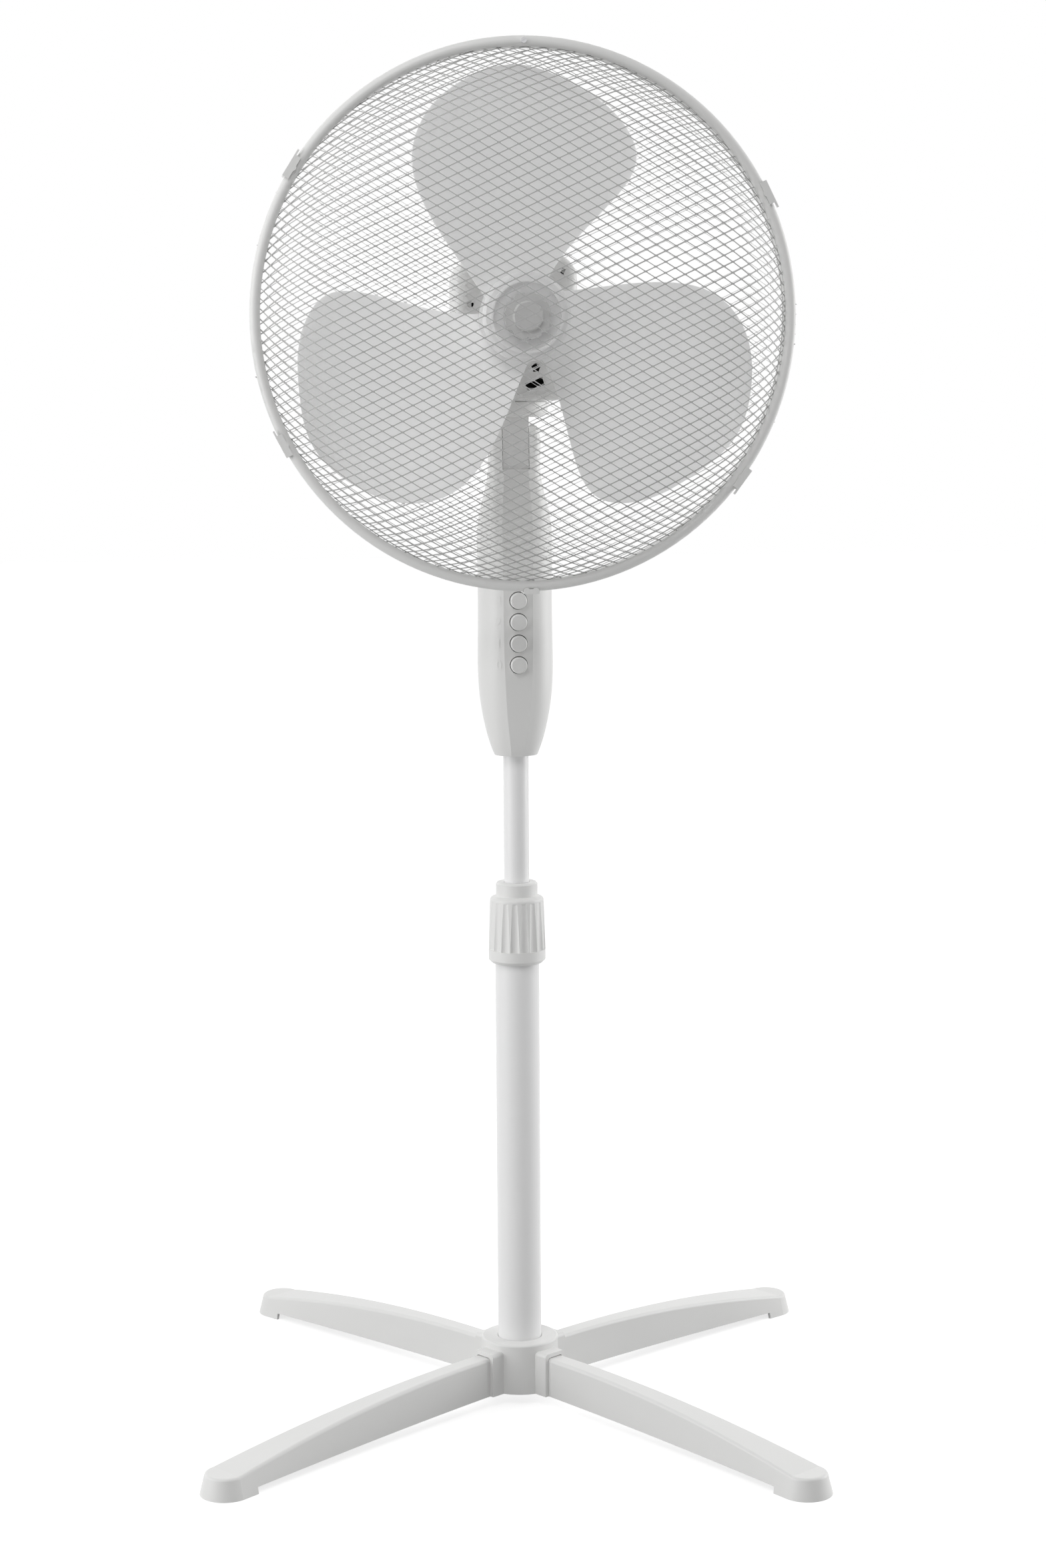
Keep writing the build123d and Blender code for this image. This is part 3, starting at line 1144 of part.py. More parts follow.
with BuildPart() as spinner_nut:
    with BuildSketch(head_plane(spinner_seat)):
        Circle(SPINNER_RADIUS)
        with PolarLocations(SPINNER_LOBE_RING, SPINNER_LOBES):
            Circle(SPINNER_LOBE_RADIUS, mode=Mode.SUBTRACT)
    extrude(amount=SPINNER_FLANGE)
    with BuildSketch(head_plane(spinner_seat)):
        Circle(SPINNER_FACE_RADIUS)
    extrude(amount=SPINNER_DEPTH, taper=SPINNER_TAPER)
    fillet(spinner_nut.edges().group_by(Axis.Y)[0], SPINNER_EDGE)
    with BuildSketch(head_plane(spinner_seat)):
        Circle(SHAFT_RADIUS + SEAT)
    extrude(amount=SHAFT_FRONT - spinner_seat + SEAT, mode=Mode.SUBTRACT)
save(spinner_nut, "spinner_nut")


# Grille: two rolled rims, two drawn mesh dishes, the nut behind, five clips and a rim screw
def dish_profile(flat, edge, hole):
    """Half of a dish's section: a flat from the hole outwards, an arc and a flange in the rim."""
    depth = abs(edge - flat)
    side = 1 if edge > flat else -1
    run = RIM_INSIDE - DISH_FLAT
    arc_radius = (run**2 + depth**2) / (2 * depth)
    swing = math.asin(run / arc_radius) / 2
    middle_radius = DISH_FLAT + arc_radius * math.sin(swing)
    middle = flat + side * arc_radius * (1 - math.cos(swing))
    with BuildSketch(rim_plane(90)) as section:
        with BuildLine():
            Line((flat, hole), (flat, DISH_FLAT))
            ThreePointArc((flat, DISH_FLAT), (middle, middle_radius), (edge, RIM_INSIDE))
            Line((edge, RIM_INSIDE), (edge, DISH_RADIUS))
            Line((edge, DISH_RADIUS), (edge + DISH_SHEET, DISH_RADIUS))
            Line((edge + DISH_SHEET, DISH_RADIUS), (edge + DISH_SHEET, RIM_INSIDE))
            ThreePointArc(
                (edge + DISH_SHEET, RIM_INSIDE),
                (middle + DISH_SHEET, middle_radius),
                (flat + DISH_SHEET, DISH_FLAT),
            )
            Line((flat + DISH_SHEET, DISH_FLAT), (flat + DISH_SHEET, hole))
            Line((flat + DISH_SHEET, hole), (flat, hole))
        make_face()
    return section.sketch


def mesh_centres(inside):
    """The centres of the diamond openings, in staggered rows, between two radii."""
    columns = math.ceil(RIM_RADIUS / MESH_LONG) + 1
    rows = math.ceil(RIM_RADIUS / MESH_SHORT) + 1
    centres = []
    for row in range(-2 * rows, 2 * rows + 1):
        shift = MESH_LONG / 2 if row % 2 else 0
        for column in range(-columns, columns + 1):
            centre = (column * MESH_LONG + shift, row * MESH_SHORT / 2)
            reach = math.hypot(*centre)
            if inside < reach < RIM_INSIDE + MESH_EDGE:
                centres.append(centre)
    return centres


slope = math.hypot(MESH_LONG, MESH_SHORT)
diamond_x = MESH_LONG / 2 - MESH_STRAND / 2 * slope / MESH_SHORT
diamond_y = MESH_SHORT / 2 - MESH_STRAND / 2 * slope / MESH_LONG
diamond = [(diamond_x, 0), (0, diamond_y), (-diamond_x, 0), (0, -diamond_y)]


def rim_profile(front, outside, depth, dish_edge):
    """A rolled rim's section, rounded away from the joint, with a groove for the dish."""
    tip = RIM_FORWARD + front * depth
    crown = (RIM_INSIDE + outside) / 2
    groove_low = dish_edge - SEAT
    groove_high = dish_edge + DISH_SHEET + SEAT
    with BuildSketch(rim_plane(90)) as section:
        with BuildLine():
            Line((RIM_FORWARD, RIM_INSIDE), (RIM_FORWARD, outside))
            Line((RIM_FORWARD, outside), (tip - front * RIM_ROLL, outside))
            ThreePointArc(
                (tip - front * RIM_ROLL, outside),
                (tip, crown),
                (tip - front * RIM_ROLL, RIM_INSIDE),
            )
            Line((tip - front * RIM_ROLL, RIM_INSIDE), (RIM_FORWARD, RIM_INSIDE))
        make_face()
        with BuildLine():
            Polyline(
                (groove_low, 0),
                (groove_high, 0),
                (groove_high, DISH_RADIUS + SEAT),
                (groove_low, DISH_RADIUS + SEAT),
                close=True,
            )
        make_face(mode=Mode.SUBTRACT)
    return section.sketch


screw_radius_at = (RIM_INSIDE + RIM_RADIUS) / 2
clip_pin_forward = RIM_FORWARD - REAR_RIM_DEPTH - CLIP_BARREL_RADIUS - SLIP
clip_pin_radius = REAR_RIM_RADIUS - CLIP_BARREL_RADIUS

with BuildPart() as front_grille_ring:
    revolve(rim_profile(1, RIM_RADIUS, FRONT_RIM_DEPTH, FRONT_DISH_EDGE), axis=FAN_AXIS)
    with BuildSketch(head_plane(RIM_FORWARD)):
        with Locations((0, screw_radius_at)):
            Circle(RIM_SCREW_RADIUS + SEAT)
    extrude(amount=2 * FRONT_RIM_DEPTH, mode=Mode.SUBTRACT)
save(front_grille_ring, "front_grille_ring")

with BuildPart() as rear_grille_ring:
    revolve(rim_profile(-1, REAR_RIM_RADIUS, REAR_RIM_DEPTH, REAR_DISH_EDGE), axis=FAN_AXIS)
    for angle in [clip[0] for clip in CLIPS.values()]:
        for side in (-1, 1):
            with BuildSketch(rim_plane(angle).offset(side * (CLIP_BARREL_HALF + SLIP))):
                with Locations((clip_pin_forward, clip_pin_radius)):
                    Rectangle(
                        REAR_RIM_DEPTH,
                        2 * CLIP_BARREL_RADIUS - SLIP,
                        align=(Align.MIN, Align.CENTER),
                    )
                    Circle(CLIP_BARREL_RADIUS - SLIP / 2)
            extrude(amount=side * CLIP_EAR)
        with BuildSketch(rim_plane(angle)):
            with Locations((clip_pin_forward, clip_pin_radius)):
                Circle(CLIP_PIN_RADIUS)
        extrude(amount=CLIP_BARREL_HALF + CLIP_EAR, both=True)
    with BuildSketch(head_plane(RIM_FORWARD)):
        with Locations((0, screw_radius_at)):
            Circle(RIM_SCREW_RADIUS + SEAT)
    extrude(amount=-2 * REAR_RIM_DEPTH, mode=Mode.SUBTRACT)
save(rear_grille_ring, "rear_grille_ring")

mesh_reach = 4 * RIM_FORWARD
with BuildPart() as front_grille_mesh:
    revolve(dish_profile(FRONT_DISH_FORWARD, FRONT_DISH_EDGE, 0), axis=FAN_AXIS)
    with BuildSketch(head_plane(0)) as front_openings:
        with Locations(*mesh_centres(-1)):
            Polygon(*diamond)
        Circle(RIM_INSIDE - MESH_EDGE, mode=Mode.INTERSECT)
    extrude(amount=mesh_reach, mode=Mode.SUBTRACT)
save(front_grille_mesh, "front_grille_mesh")

with BuildPart() as rear_grille_mesh:
    revolve(dish_profile(REAR_DISH_FORWARD, REAR_DISH_EDGE, NOSE_RADIUS + SEAT), axis=FAN_AXIS)
    with BuildSketch(head_plane(0)) as rear_openings:
        with Locations(*mesh_centres(REAR_PLATE_RADIUS)):
            Polygon(*diamond)
        Circle(RIM_INSIDE - MESH_EDGE, mode=Mode.INTERSECT)
        Circle(REAR_PLATE_RADIUS, mode=Mode.SUBTRACT)
    extrude(amount=mesh_reach, mode=Mode.SUBTRACT)
save(rear_grille_mesh, "rear_grille_mesh")

with BuildPart() as rear_grille_nut:
    with BuildSketch(head_plane(REAR_DISH_FORWARD + DISH_SHEET)):
        Circle(GRILLE_NUT_RADIUS)
        with PolarLocations(GRILLE_GRIP_RING, GRILLE_NUT_GRIPS):
            Circle(GRILLE_GRIP_RADIUS, mode=Mode.SUBTRACT)
        Circle(NOSE_RADIUS + SEAT, mode=Mode.SUBTRACT)
    extrude(amount=GRILLE_NUT_DEPTH)
save(rear_grille_nut, "rear_grille_nut")

clip_inside = RIM_RADIUS + CLIP_GAP
clip_outside = clip_inside + CLIP_SHEET
clip_front = RIM_FORWARD + FRONT_RIM_DEPTH + CLIP_GAP
for place, (angle, half_length, lip, prong, bumps) in CLIPS.items():
    with BuildPart() as clip:
        with BuildSketch(rim_plane(angle)):
            with Locations((clip_pin_forward + CLIP_BARREL_RADIUS, clip_inside)):
                Rectangle(
                    clip_front + CLIP_SHEET - clip_pin_forward - CLIP_BARREL_RADIUS,
                    CLIP_SHEET,
                    align=(Align.MIN, Align.MIN),
                )
            with Locations((clip_front, clip_outside)):
                Rectangle(CLIP_SHEET, lip + CLIP_SHEET, align=(Align.MIN, Align.MAX))
        extrude(amount=half_length, both=True)
        if prong:
            with BuildSketch(rim_plane(angle).offset(-half_length)):
                with Locations((clip_front + CLIP_SHEET, clip_inside)):
                    Rectangle(CLIP_PRONG_WIDTH, CLIP_SHEET, align=(Align.MAX, Align.MIN))
            extrude(amount=-prong)
        with BuildSketch(rim_plane(angle)):
            with Locations((clip_pin_forward, clip_pin_radius)):
                Circle(CLIP_BARREL_RADIUS)
            with Locations((clip_pin_forward - CLIP_BARREL_RADIUS, clip_pin_radius)):
                Rectangle(
                    CLIP_SHEET,
                    clip_outside - clip_pin_radius,
                    align=(Align.MIN, Align.MIN),
                )
            with Locations((clip_pin_forward - CLIP_BARREL_RADIUS, clip_inside)):
                Rectangle(4 * CLIP_BARREL_RADIUS, CLIP_SHEET, align=(Align.MIN, Align.MIN))
            with Locations((clip_pin_forward, clip_pin_radius)):
                Circle(CLIP_PIN_RADIUS + RUN, mode=Mode.SUBTRACT)
        extrude(amount=CLIP_BARREL_HALF, both=True)
        bump_plane = Plane(
            origin=rim_plane(angle).from_local_coords((clip_front, clip_outside - lip, 0)),
            x_dir=rim_plane(angle).z_dir,
            z_dir=(0, -1, 0),
        )
        with BuildSketch(bump_plane):
            with Locations(*[(bump, 0) for bump in bumps]):
                Circle(CLIP_BUMP)
        extrude(amount=CLIP_SHEET)
    save(clip, f"grille_clip_{place}")

with BuildPart() as rim_screw:
    with BuildSketch(head_plane(RIM_FORWARD - REAR_RIM_DEPTH - RIM_SCREW_TAIL)):
        with Locations((0, screw_radius_at)):
            Circle(RIM_SCREW_RADIUS)
    extrude(amount=REAR_RIM_DEPTH + FRONT_RIM_DEPTH + RIM_SCREW_TAIL)
    with BuildSketch(head_plane(RIM_FORWARD + FRONT_RIM_DEPTH)):
        with Locations((0, screw_radius_at)):
            Circle(RIM_SCREW_HEAD)
    extrude(amount=RIM_SCREW_HEAD_DEPTH)
    with BuildSketch(head_plane(RIM_FORWARD + FRONT_RIM_DEPTH + RIM_SCREW_HEAD_DEPTH / 2)):
        with Locations((0, screw_radius_at)):
            Rectangle(2 * RIM_SCREW_HEAD, RIM_SCREW_SLOT, rotation=RIM_SCREW_TURN)
    extrude(amount=RIM_SCREW_HEAD_DEPTH, mode=Mode.SUBTRACT)
save(rim_screw, "rim_screw")

with BuildPart() as rim_screw_nut:
    with BuildSketch(head_plane(RIM_FORWARD - REAR_RIM_DEPTH)):
        with Locations((0, screw_radius_at)):
            RegularPolygon(RIM_NUT_RADIUS, 6)
            Circle(RIM_SCREW_RADIUS + SEAT, mode=Mode.SUBTRACT)
    extrude(amount=-RIM_NUT_DEPTH)
save(rim_screw_nut, "rim_screw_nut")
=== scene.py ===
import json
import math

import bmesh
import bpy
from mathutils import Matrix, Vector
from mathutils.bvhtree import BVHTree


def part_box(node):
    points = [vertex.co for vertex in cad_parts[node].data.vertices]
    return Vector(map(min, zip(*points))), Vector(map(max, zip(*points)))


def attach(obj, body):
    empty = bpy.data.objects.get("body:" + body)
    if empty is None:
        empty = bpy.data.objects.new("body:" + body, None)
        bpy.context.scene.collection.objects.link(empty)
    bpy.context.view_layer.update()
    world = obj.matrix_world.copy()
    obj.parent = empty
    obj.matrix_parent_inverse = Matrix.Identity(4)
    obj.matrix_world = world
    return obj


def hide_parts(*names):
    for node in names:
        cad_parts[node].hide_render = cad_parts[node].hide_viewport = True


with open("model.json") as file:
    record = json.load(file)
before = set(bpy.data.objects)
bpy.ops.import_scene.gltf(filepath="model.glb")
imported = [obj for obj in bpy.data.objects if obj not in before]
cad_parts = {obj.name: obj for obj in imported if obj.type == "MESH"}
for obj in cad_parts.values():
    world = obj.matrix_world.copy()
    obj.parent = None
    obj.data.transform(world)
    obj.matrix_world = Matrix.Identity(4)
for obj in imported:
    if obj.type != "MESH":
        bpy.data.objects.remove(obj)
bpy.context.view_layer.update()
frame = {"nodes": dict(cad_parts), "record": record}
nodes = frame["nodes"]

# Places taken from the frame, in metres
rim_low, rim_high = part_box("front_grille_ring")
AXIS_HEIGHT = (rim_low[2] + rim_high[2]) / 2
RIM_RADIUS = (rim_high[0] - rim_low[0]) / 2

# Camera of the photograph: its distance and height, and the way it looks, in degrees
CAMERA_DISTANCE = 2.3538
CAMERA_HEIGHT = 0.8377
CAMERA_AZIMUTH = 5.5
CAMERA_HEADING = 5.638
CAMERA_PITCH = 7.78
CAMERA_ROLL = -0.374
FOCAL_PIXELS = 4367.6
IMAGE_HEIGHT_PIXELS = 2350
SENSOR_HEIGHT = 24.0

# Drawn mesh sheet of the grilles, in metres; CORNER_CUT is a share of a cell's side
STRAND_RISING = Vector((0.00764, 0.00357))
STRAND_FALLING = Vector((0.00739, -0.00468))
FRONT_START = Vector((0.0031, 0.0012))
REAR_START = Vector((0.0012, -0.0024))
FRONT_WIDTHS = (0.0008, 0.00062)
REAR_WIDTHS = (0.00045, 0.00035)
SHEET_THICKNESS = 0.0005
SHEET_FACES = (SHEET_THICKNESS / 2, -SHEET_THICKNESS / 2)
CORNER_CUT = 0.09
DISH_FLAT = 0.130
RIM_WIDTH = 0.008
RIM_INSIDE = RIM_RADIUS - RIM_WIDTH
RIM_OVERLAP = 0.002
REAR_PLATE = 0.036
PLATE_HOLE = 0.0141
PLATE_LIFT = SHEET_THICKNESS * 0.6

# The strands run slanted, so the lattice is counted out this many times further than the sheet reaches
LATTICE_SPARE = 1.6

# Sides of a turned piece
TURNED_SIDES = 72

# Raised numerals beside the buttons, in metres, with the steps of their curves
NUMERAL_SIZE = 0.0096
NUMERAL_ASIDE = 0.0157
NUMERAL_RISE = 0.0003
NUMERAL_SINK = 0.0003
NUMERAL_STEPS = 4

# A place ahead of every piece, from which rays look for the housing's face
AHEAD_OF_ALL = -1.0

# Round collar under the motor, in metres, with the steps of its round and the bend of a sharp edge
COLLAR_RADIUS = 0.0275
COLLAR_INSIDE = 0.009
COLLAR_HEIGHT = 0.0122
COLLAR_ROUND = 0.006
COLLAR_EDGE = 0.0006
COLLAR_SPACE = 0.0003
COLLAR_STEPS = 8
COLLAR_SHARP = math.radians(30)

# Soft boxes: place and width in metres, and power in watts
LAMPS = {
    "left_box": ((-2.3, -0.7, 0.9), 1.6, 23),
    "right_box": ((2.4, 0.3, 0.9), 1.6, 28),
    "top_box": ((-0.7, -2.0, 2.8), 1.4, 28),
}
LAMP_AIM = (0, 0, 0.6)

# Strength of the surroundings ahead of the object, behind it and where they are seen
FRONT_LIGHT = 0.05
BACK_LIGHT = 1.0
SEEN_LIGHT = 1.0

# Floor: its half width in metres, its grey and roughness, and its glow where it is seen and where it lights
FLOOR_REACH = 12
FLOOR_COLOUR = 0.45
FLOOR_ROUGHNESS = 0.95
FLOOR_GLOW = 0.73
FLOOR_BOUNCE = 0.03

# Finishes: features to the metre of the colour drift, how much coarser the gloss is than the grain,
# the strength of the grain, and the part of the noise that a ramp spreads
DRIFT_SCALE = 14
GLOSS_COARSENESS = 6
GRAIN_STRENGTH = 0.35
RAMP_START = 0.3
RAMP_END = 0.7

# Light that passes into the thin blades: its share, and how deep it goes in metres
BLADE_GLOW = 0.9
BLADE_GLOW_DEPTH = 0.010


def node_tree(name):
    """A new material with a plain Principled surface, with its node tree and its shader."""
    material = bpy.data.materials.new(name)
    material.use_nodes = True
    tree = material.node_tree
    shader = tree.nodes["Principled BSDF"]
    return material, tree, shader


def noise(tree, scale, detail, stretch):
    """A noise texture on the object's own coordinates, with this many features to the metre."""
    place = tree.nodes.new("ShaderNodeTexCoord")
    mapping = tree.nodes.new("ShaderNodeMapping")
    mapping.inputs["Scale"].default_value = stretch
    texture = tree.nodes.new("ShaderNodeTexNoise")
    texture.inputs["Scale"].default_value = scale
    texture.inputs["Detail"].default_value = detail
    tree.links.new(place.outputs["Object"], mapping.inputs["Vector"])
    tree.links.new(mapping.outputs["Vector"], texture.inputs["Vector"])
    return texture.outputs["Fac"]


def ramp(tree, source, low, high):
    """Turns a noise value into a colour or grey between two ends."""
    blend = tree.nodes.new("ShaderNodeValToRGB")
    blend.color_ramp.elements[0].position = RAMP_START
    blend.color_ramp.elements[1].position = RAMP_END
    blend.color_ramp.elements[0].color = (*low, 1)
    blend.color_ramp.elements[1].color = (*high, 1)
    tree.links.new(source, blend.inputs["Fac"])
    return blend.outputs["Color"]


def bump(tree, shader, source, depth):
    """Raises the surface by a noise value, to this depth in metres."""
    relief = tree.nodes.new("ShaderNodeBump")
    relief.inputs["Distance"].default_value = depth
    relief.inputs["Strength"].default_value = GRAIN_STRENGTH
    tree.links.new(source, relief.inputs["Height"])
    tree.links.new(relief.outputs["Normal"], shader.inputs["Normal"])


def finish_material(
    name, colour, spread, roughness, grain, depth, metallic=0.0, stretch=(1, 1, 1), patchy=0.05
):
    """A surface with slow colour drift, uneven gloss and a fine grain.

    The colour drifts by the spread and the roughness by patchy. The grain is in features to the metre
    and its depth in metres.
    """
    material, tree, shader = node_tree(name)
    low = [max(0.0, value - spread) for value in colour]
    high = [min(1.0, value + spread) for value in colour]
    drift = noise(tree, DRIFT_SCALE, detail=3, stretch=stretch)
    tree.links.new(ramp(tree, drift, low, high), shader.inputs["Base Color"])
    gloss = noise(tree, grain / GLOSS_COARSENESS, detail=3, stretch=stretch)
    low_gloss = [roughness - patchy] * 3
    high_gloss = [roughness + patchy] * 3
    tree.links.new(ramp(tree, gloss, low_gloss, high_gloss), shader.inputs["Roughness"])
    bump(tree, shader, noise(tree, grain, detail=2, stretch=stretch), depth)
    shader.inputs["Metallic"].default_value = metallic
    return material


materials = {
    "white_plastic": finish_material("satin_plastic", (0.80, 0.80, 0.79), 0.008, 0.42, 2600, 0.00001),
    # The blades' white is raised above the other white plastic: partly their own colour, and partly painted
    # light for the light that passes through them from behind
    "blade_plastic": finish_material("blade_plastic", (0.96, 0.96, 0.96), 0.006, 0.32, 1400, 0.00001),
    "white_tube": finish_material(
        "coated_tube", (0.88, 0.88, 0.88), 0.004, 0.34, 2600, 0.000002, patchy=0.01
    ),
    # The front mesh is the same white paint as the rear mesh, darkened to a mid grey: painted shade for the
    # shaded tilted faces and sides of its strands
    "white_mesh": finish_material("front_mesh_painted_shade", (0.48, 0.48, 0.475), 0.012, 0.45, 900, 0.00001),
    "spinner_plastic": finish_material("spinner_plastic", (0.64, 0.64, 0.635), 0.008, 0.4, 2600, 0.00001),
    "inner_plastic": finish_material("dark_plastic", (0.10, 0.10, 0.105), 0.01, 0.5, 2000, 0.00005),
    "bush_plastic": finish_material("natural_plastic", (0.60, 0.60, 0.58), 0.02, 0.5, 2000, 0.00005),
    "steel": finish_material("turned_steel", (0.55, 0.55, 0.56), 0.02, 0.3, 1800, 0.00003, 1.0, (1, 1, 12)),
    "motor_iron": finish_material(
        "motor_iron", (0.16, 0.16, 0.17), 0.02, 0.55, 1200, 0.0001, 1.0, (1, 20, 1)
    ),
    "bronze": finish_material("bronze", (0.45, 0.32, 0.15), 0.03, 0.4, 1600, 0.00005, 1.0),
    "rear_mesh": finish_material("coated_rear_mesh", (0.86, 0.86, 0.855), 0.012, 0.45, 900, 0.00001),
    "rubber": finish_material("pale_rubber", (0.60, 0.60, 0.59), 0.015, 0.7, 1500, 0.00008),
}

# The blades are thin enough to glow with the light behind them
blade_shader = materials["blade_plastic"].node_tree.nodes["Principled BSDF"]
blade_shader.inputs["Subsurface Weight"].default_value = BLADE_GLOW
blade_shader.inputs["Subsurface Radius"].default_value = (1, 1, 1)
blade_shader.inputs["Subsurface Scale"].default_value = BLADE_GLOW_DEPTH

# A piece whose finish differs from that of the rest of its slot
OWN_FINISH = {"spinner_nut": "spinner_plastic"}

for entry in frame["record"]["subparts"]:
    mesh = nodes[entry["node"]].data
    mesh.materials.clear()
    mesh.materials.append(materials[OWN_FINISH.get(entry["node"], entry["material_slot"])])


def new_piece(name, mesh_builder, body, material):
    """Turns a bmesh into a named piece that rides on a body."""
    mesh = bpy.data.meshes.new(name)
    mesh_builder.to_mesh(mesh)
    mesh_builder.free()
    mesh.materials.append(material)
    piece = bpy.data.objects.new(name, mesh)
    bpy.context.scene.collection.objects.link(piece)
    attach(piece, body)
    return piece


def turn_profile(build, profile, place):
    """Turns a closed profile full circle; place tells where a radius, a turn and a height land."""
    rings = []
    for side in range(TURNED_SIDES):
        turn = 2 * math.pi * side / TURNED_SIDES
        rings.append([build.verts.new(place(radius, turn, height)) for radius, height in profile])
    for side in range(TURNED_SIDES):
        here, after = rings[side], rings[(side + 1) % TURNED_SIDES]
        for spot in range(len(profile)):
            following = (spot + 1) % len(profile)
            build.faces.new([here[spot], here[following], after[following], after[spot]])


def dish_arc(flat, edge):
    """The radius of the arc on which a dish bends to its rim, and the angle that it bends through."""
    depth = abs(edge - flat)
    run = RIM_INSIDE - DISH_FLAT
    arc_radius = (run**2 + depth**2) / (2 * depth)
    return arc_radius, math.asin(run / arc_radius)


def dish_point(flat, edge, across, up, lift):
    """Where a point of the flat sheet lands on the drawn dish, lifted off the sheet's middle.

    The sheet is flat out to DISH_FLAT and then bends on one arc that ends at the rim.
    """
    arc_radius, bend_limit = dish_arc(flat, edge)
    side = 1 if flat > edge else -1
    reach = math.hypot(across, up)
    bend = max(0.0, reach - DISH_FLAT) / arc_radius
    extra = max(0.0, bend - bend_limit) * arc_radius
    bend = min(bend, bend_limit)
    radius = min(reach, DISH_FLAT) + (arc_radius + lift * side) * math.sin(bend) + extra
    forward = flat - side * arc_radius * (1 - math.cos(bend)) + lift * math.cos(bend)
    share = radius / reach if reach else 1.0
    return Vector((across * share, -forward, AXIS_HEIGHT + up * share))


def cell_outline(corner, rising_cut, falling_cut):
    """The opening of one diamond cell, with its corners cut off, on the flat sheet."""
    shares = []
    for start, end in (((0, 0), (1, 0)), ((1, 0), (1, 1)), ((1, 1), (0, 1)), ((0, 1), (0, 0))):
        for share in (CORNER_CUT, 1 - CORNER_CUT):
            along = start[0] + (end[0] - start[0]) * share
            beside = start[1] + (end[1] - start[1]) * share
            shares.append((
                falling_cut + along * (1 - 2 * falling_cut),
                rising_cut + beside * (1 - 2 * rising_cut),
            ))
    return [corner + STRAND_RISING * along + STRAND_FALLING * beside for along, beside in shares]


def add_cell(build, corners, holes):
    """The sheet round one opening: its front, its back and the walls of the opening."""
    for face, hole in enumerate(holes):
        order = 1 if face == 0 else -1
        for side in range(4):
            here, after = corners[side][face], corners[(side + 1) % 4][face]
            strand = [here, hole[2 * side], hole[2 * side + 1], after]
            web = [here, hole[2 * side - 1], hole[2 * side]]
            build.faces.new(strand[::order])
            build.faces.new(web[::order])
    front, back = holes
    for spot in range(len(front)):
        following = (spot + 1) % len(front)
        build.faces.new([front[spot], back[spot], back[following], front[following]])


def close_border(build, crossings):
    """Joins the front and the back of the sheet along its cut edges."""
    partner = {front: back for front, back in crossings}
    for border in [edge for edge in build.edges if edge.is_boundary]:
        here, after = border.verts
        if here in partner and after in partner:
            build.faces.new([here, after, partner[after], partner[here]])


def add_plate(build, flat, plate):
    """The unpierced ring in the middle of a dish, lapping a little over the mesh round it."""
    outside = plate + SHEET_THICKNESS

    def on_dish(radius, turn, lift):
        """A point round the fan's axis, lifted off the dish's flat middle."""
        return radius * math.cos(turn), -flat - lift, AXIS_HEIGHT + radius * math.sin(turn)

    profile = [
        (PLATE_HOLE, PLATE_LIFT),
        (outside, PLATE_LIFT),
        (outside, -PLATE_LIFT),
        (PLATE_HOLE, -PLATE_LIFT),
    ]
    turn_profile(build, profile, on_dish)


def mesh_dish(flat, edge, start, plate, widths):
    """A drawn dish of diamond mesh: each cell is a frame of sheet round its opening.

    flat and edge are how far the dish's middle and rim stand ahead of the pole axis, start is the
    place of one crossing, plate is the radius of the unpierced middle, and widths are those of the
    rising and the falling strands.
    """
    area = abs(STRAND_RISING.x * STRAND_FALLING.y - STRAND_RISING.y * STRAND_FALLING.x)
    rising_cut = widths[0] / 2 * STRAND_RISING.length / area
    falling_cut = widths[1] / 2 * STRAND_FALLING.length / area
    arc_radius, bend_limit = dish_arc(flat, edge)
    sheet_radius = DISH_FLAT + arc_radius * bend_limit + RIM_OVERLAP
    count = math.ceil(LATTICE_SPARE * sheet_radius / STRAND_RISING.x)
    build = bmesh.new()
    crossings = {}

    def crossing(column, row):
        """The front and back points of a crossing of two strands, shared by its four cells."""
        if (column, row) not in crossings:
            spot = start + STRAND_RISING * column + STRAND_FALLING * row
            crossings[column, row] = [
                build.verts.new(dish_point(flat, edge, spot.x, spot.y, lift)) for lift in SHEET_FACES
            ]
        return crossings[column, row]

    for column in range(-count, count):
        for row in range(-count, count):
            corner = start + STRAND_RISING * column + STRAND_FALLING * row
            middle = corner + (STRAND_RISING + STRAND_FALLING) / 2
            if not plate < middle.length < sheet_radius:
                continue
            corners = [
                crossing(column, row),
                crossing(column + 1, row),
                crossing(column + 1, row + 1),
                crossing(column, row + 1),
            ]
            outline = cell_outline(corner, rising_cut, falling_cut)
            holes = [
                [
                    build.verts.new(dish_point(flat, edge, spot.x, spot.y, lift))
                    for spot in outline
                ]
                for lift in SHEET_FACES
            ]
            add_cell(build, corners, holes)
    close_border(build, crossings.values())
    if plate:
        add_plate(build, flat, plate)
    bmesh.ops.recalc_face_normals(build, faces=build.faces)
    return build


def grille(name, node, build, finish):
    """Puts the fine mesh of one grille in the place of its coarse CAD net."""
    piece = new_piece(name, build, "head", materials[finish])
    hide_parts(node)


# The front mesh takes the white_mesh finish, whose grey is painted shade
front_low, front_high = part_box("front_grille_mesh")
front_dish = mesh_dish(-front_low[1], -front_high[1], FRONT_START, 0.0, FRONT_WIDTHS)
grille("front_mesh", "front_grille_mesh", front_dish, "white_mesh")
rear_low, rear_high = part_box("rear_grille_mesh")
rear_dish = mesh_dish(-rear_high[1], -rear_low[1], REAR_START, REAR_PLATE, REAR_WIDTHS)
grille("rear_mesh", "rear_grille_mesh", rear_dish, "rear_mesh")


def surface_finder(node):
    """A tree that answers where a ray meets a node's surface at rest."""
    solid = nodes[node]
    spots = [solid.matrix_world @ vertex.co for vertex in solid.data.vertices]
    return BVHTree.FromPolygons(spots, [list(face.vertices) for face in solid.data.polygons])


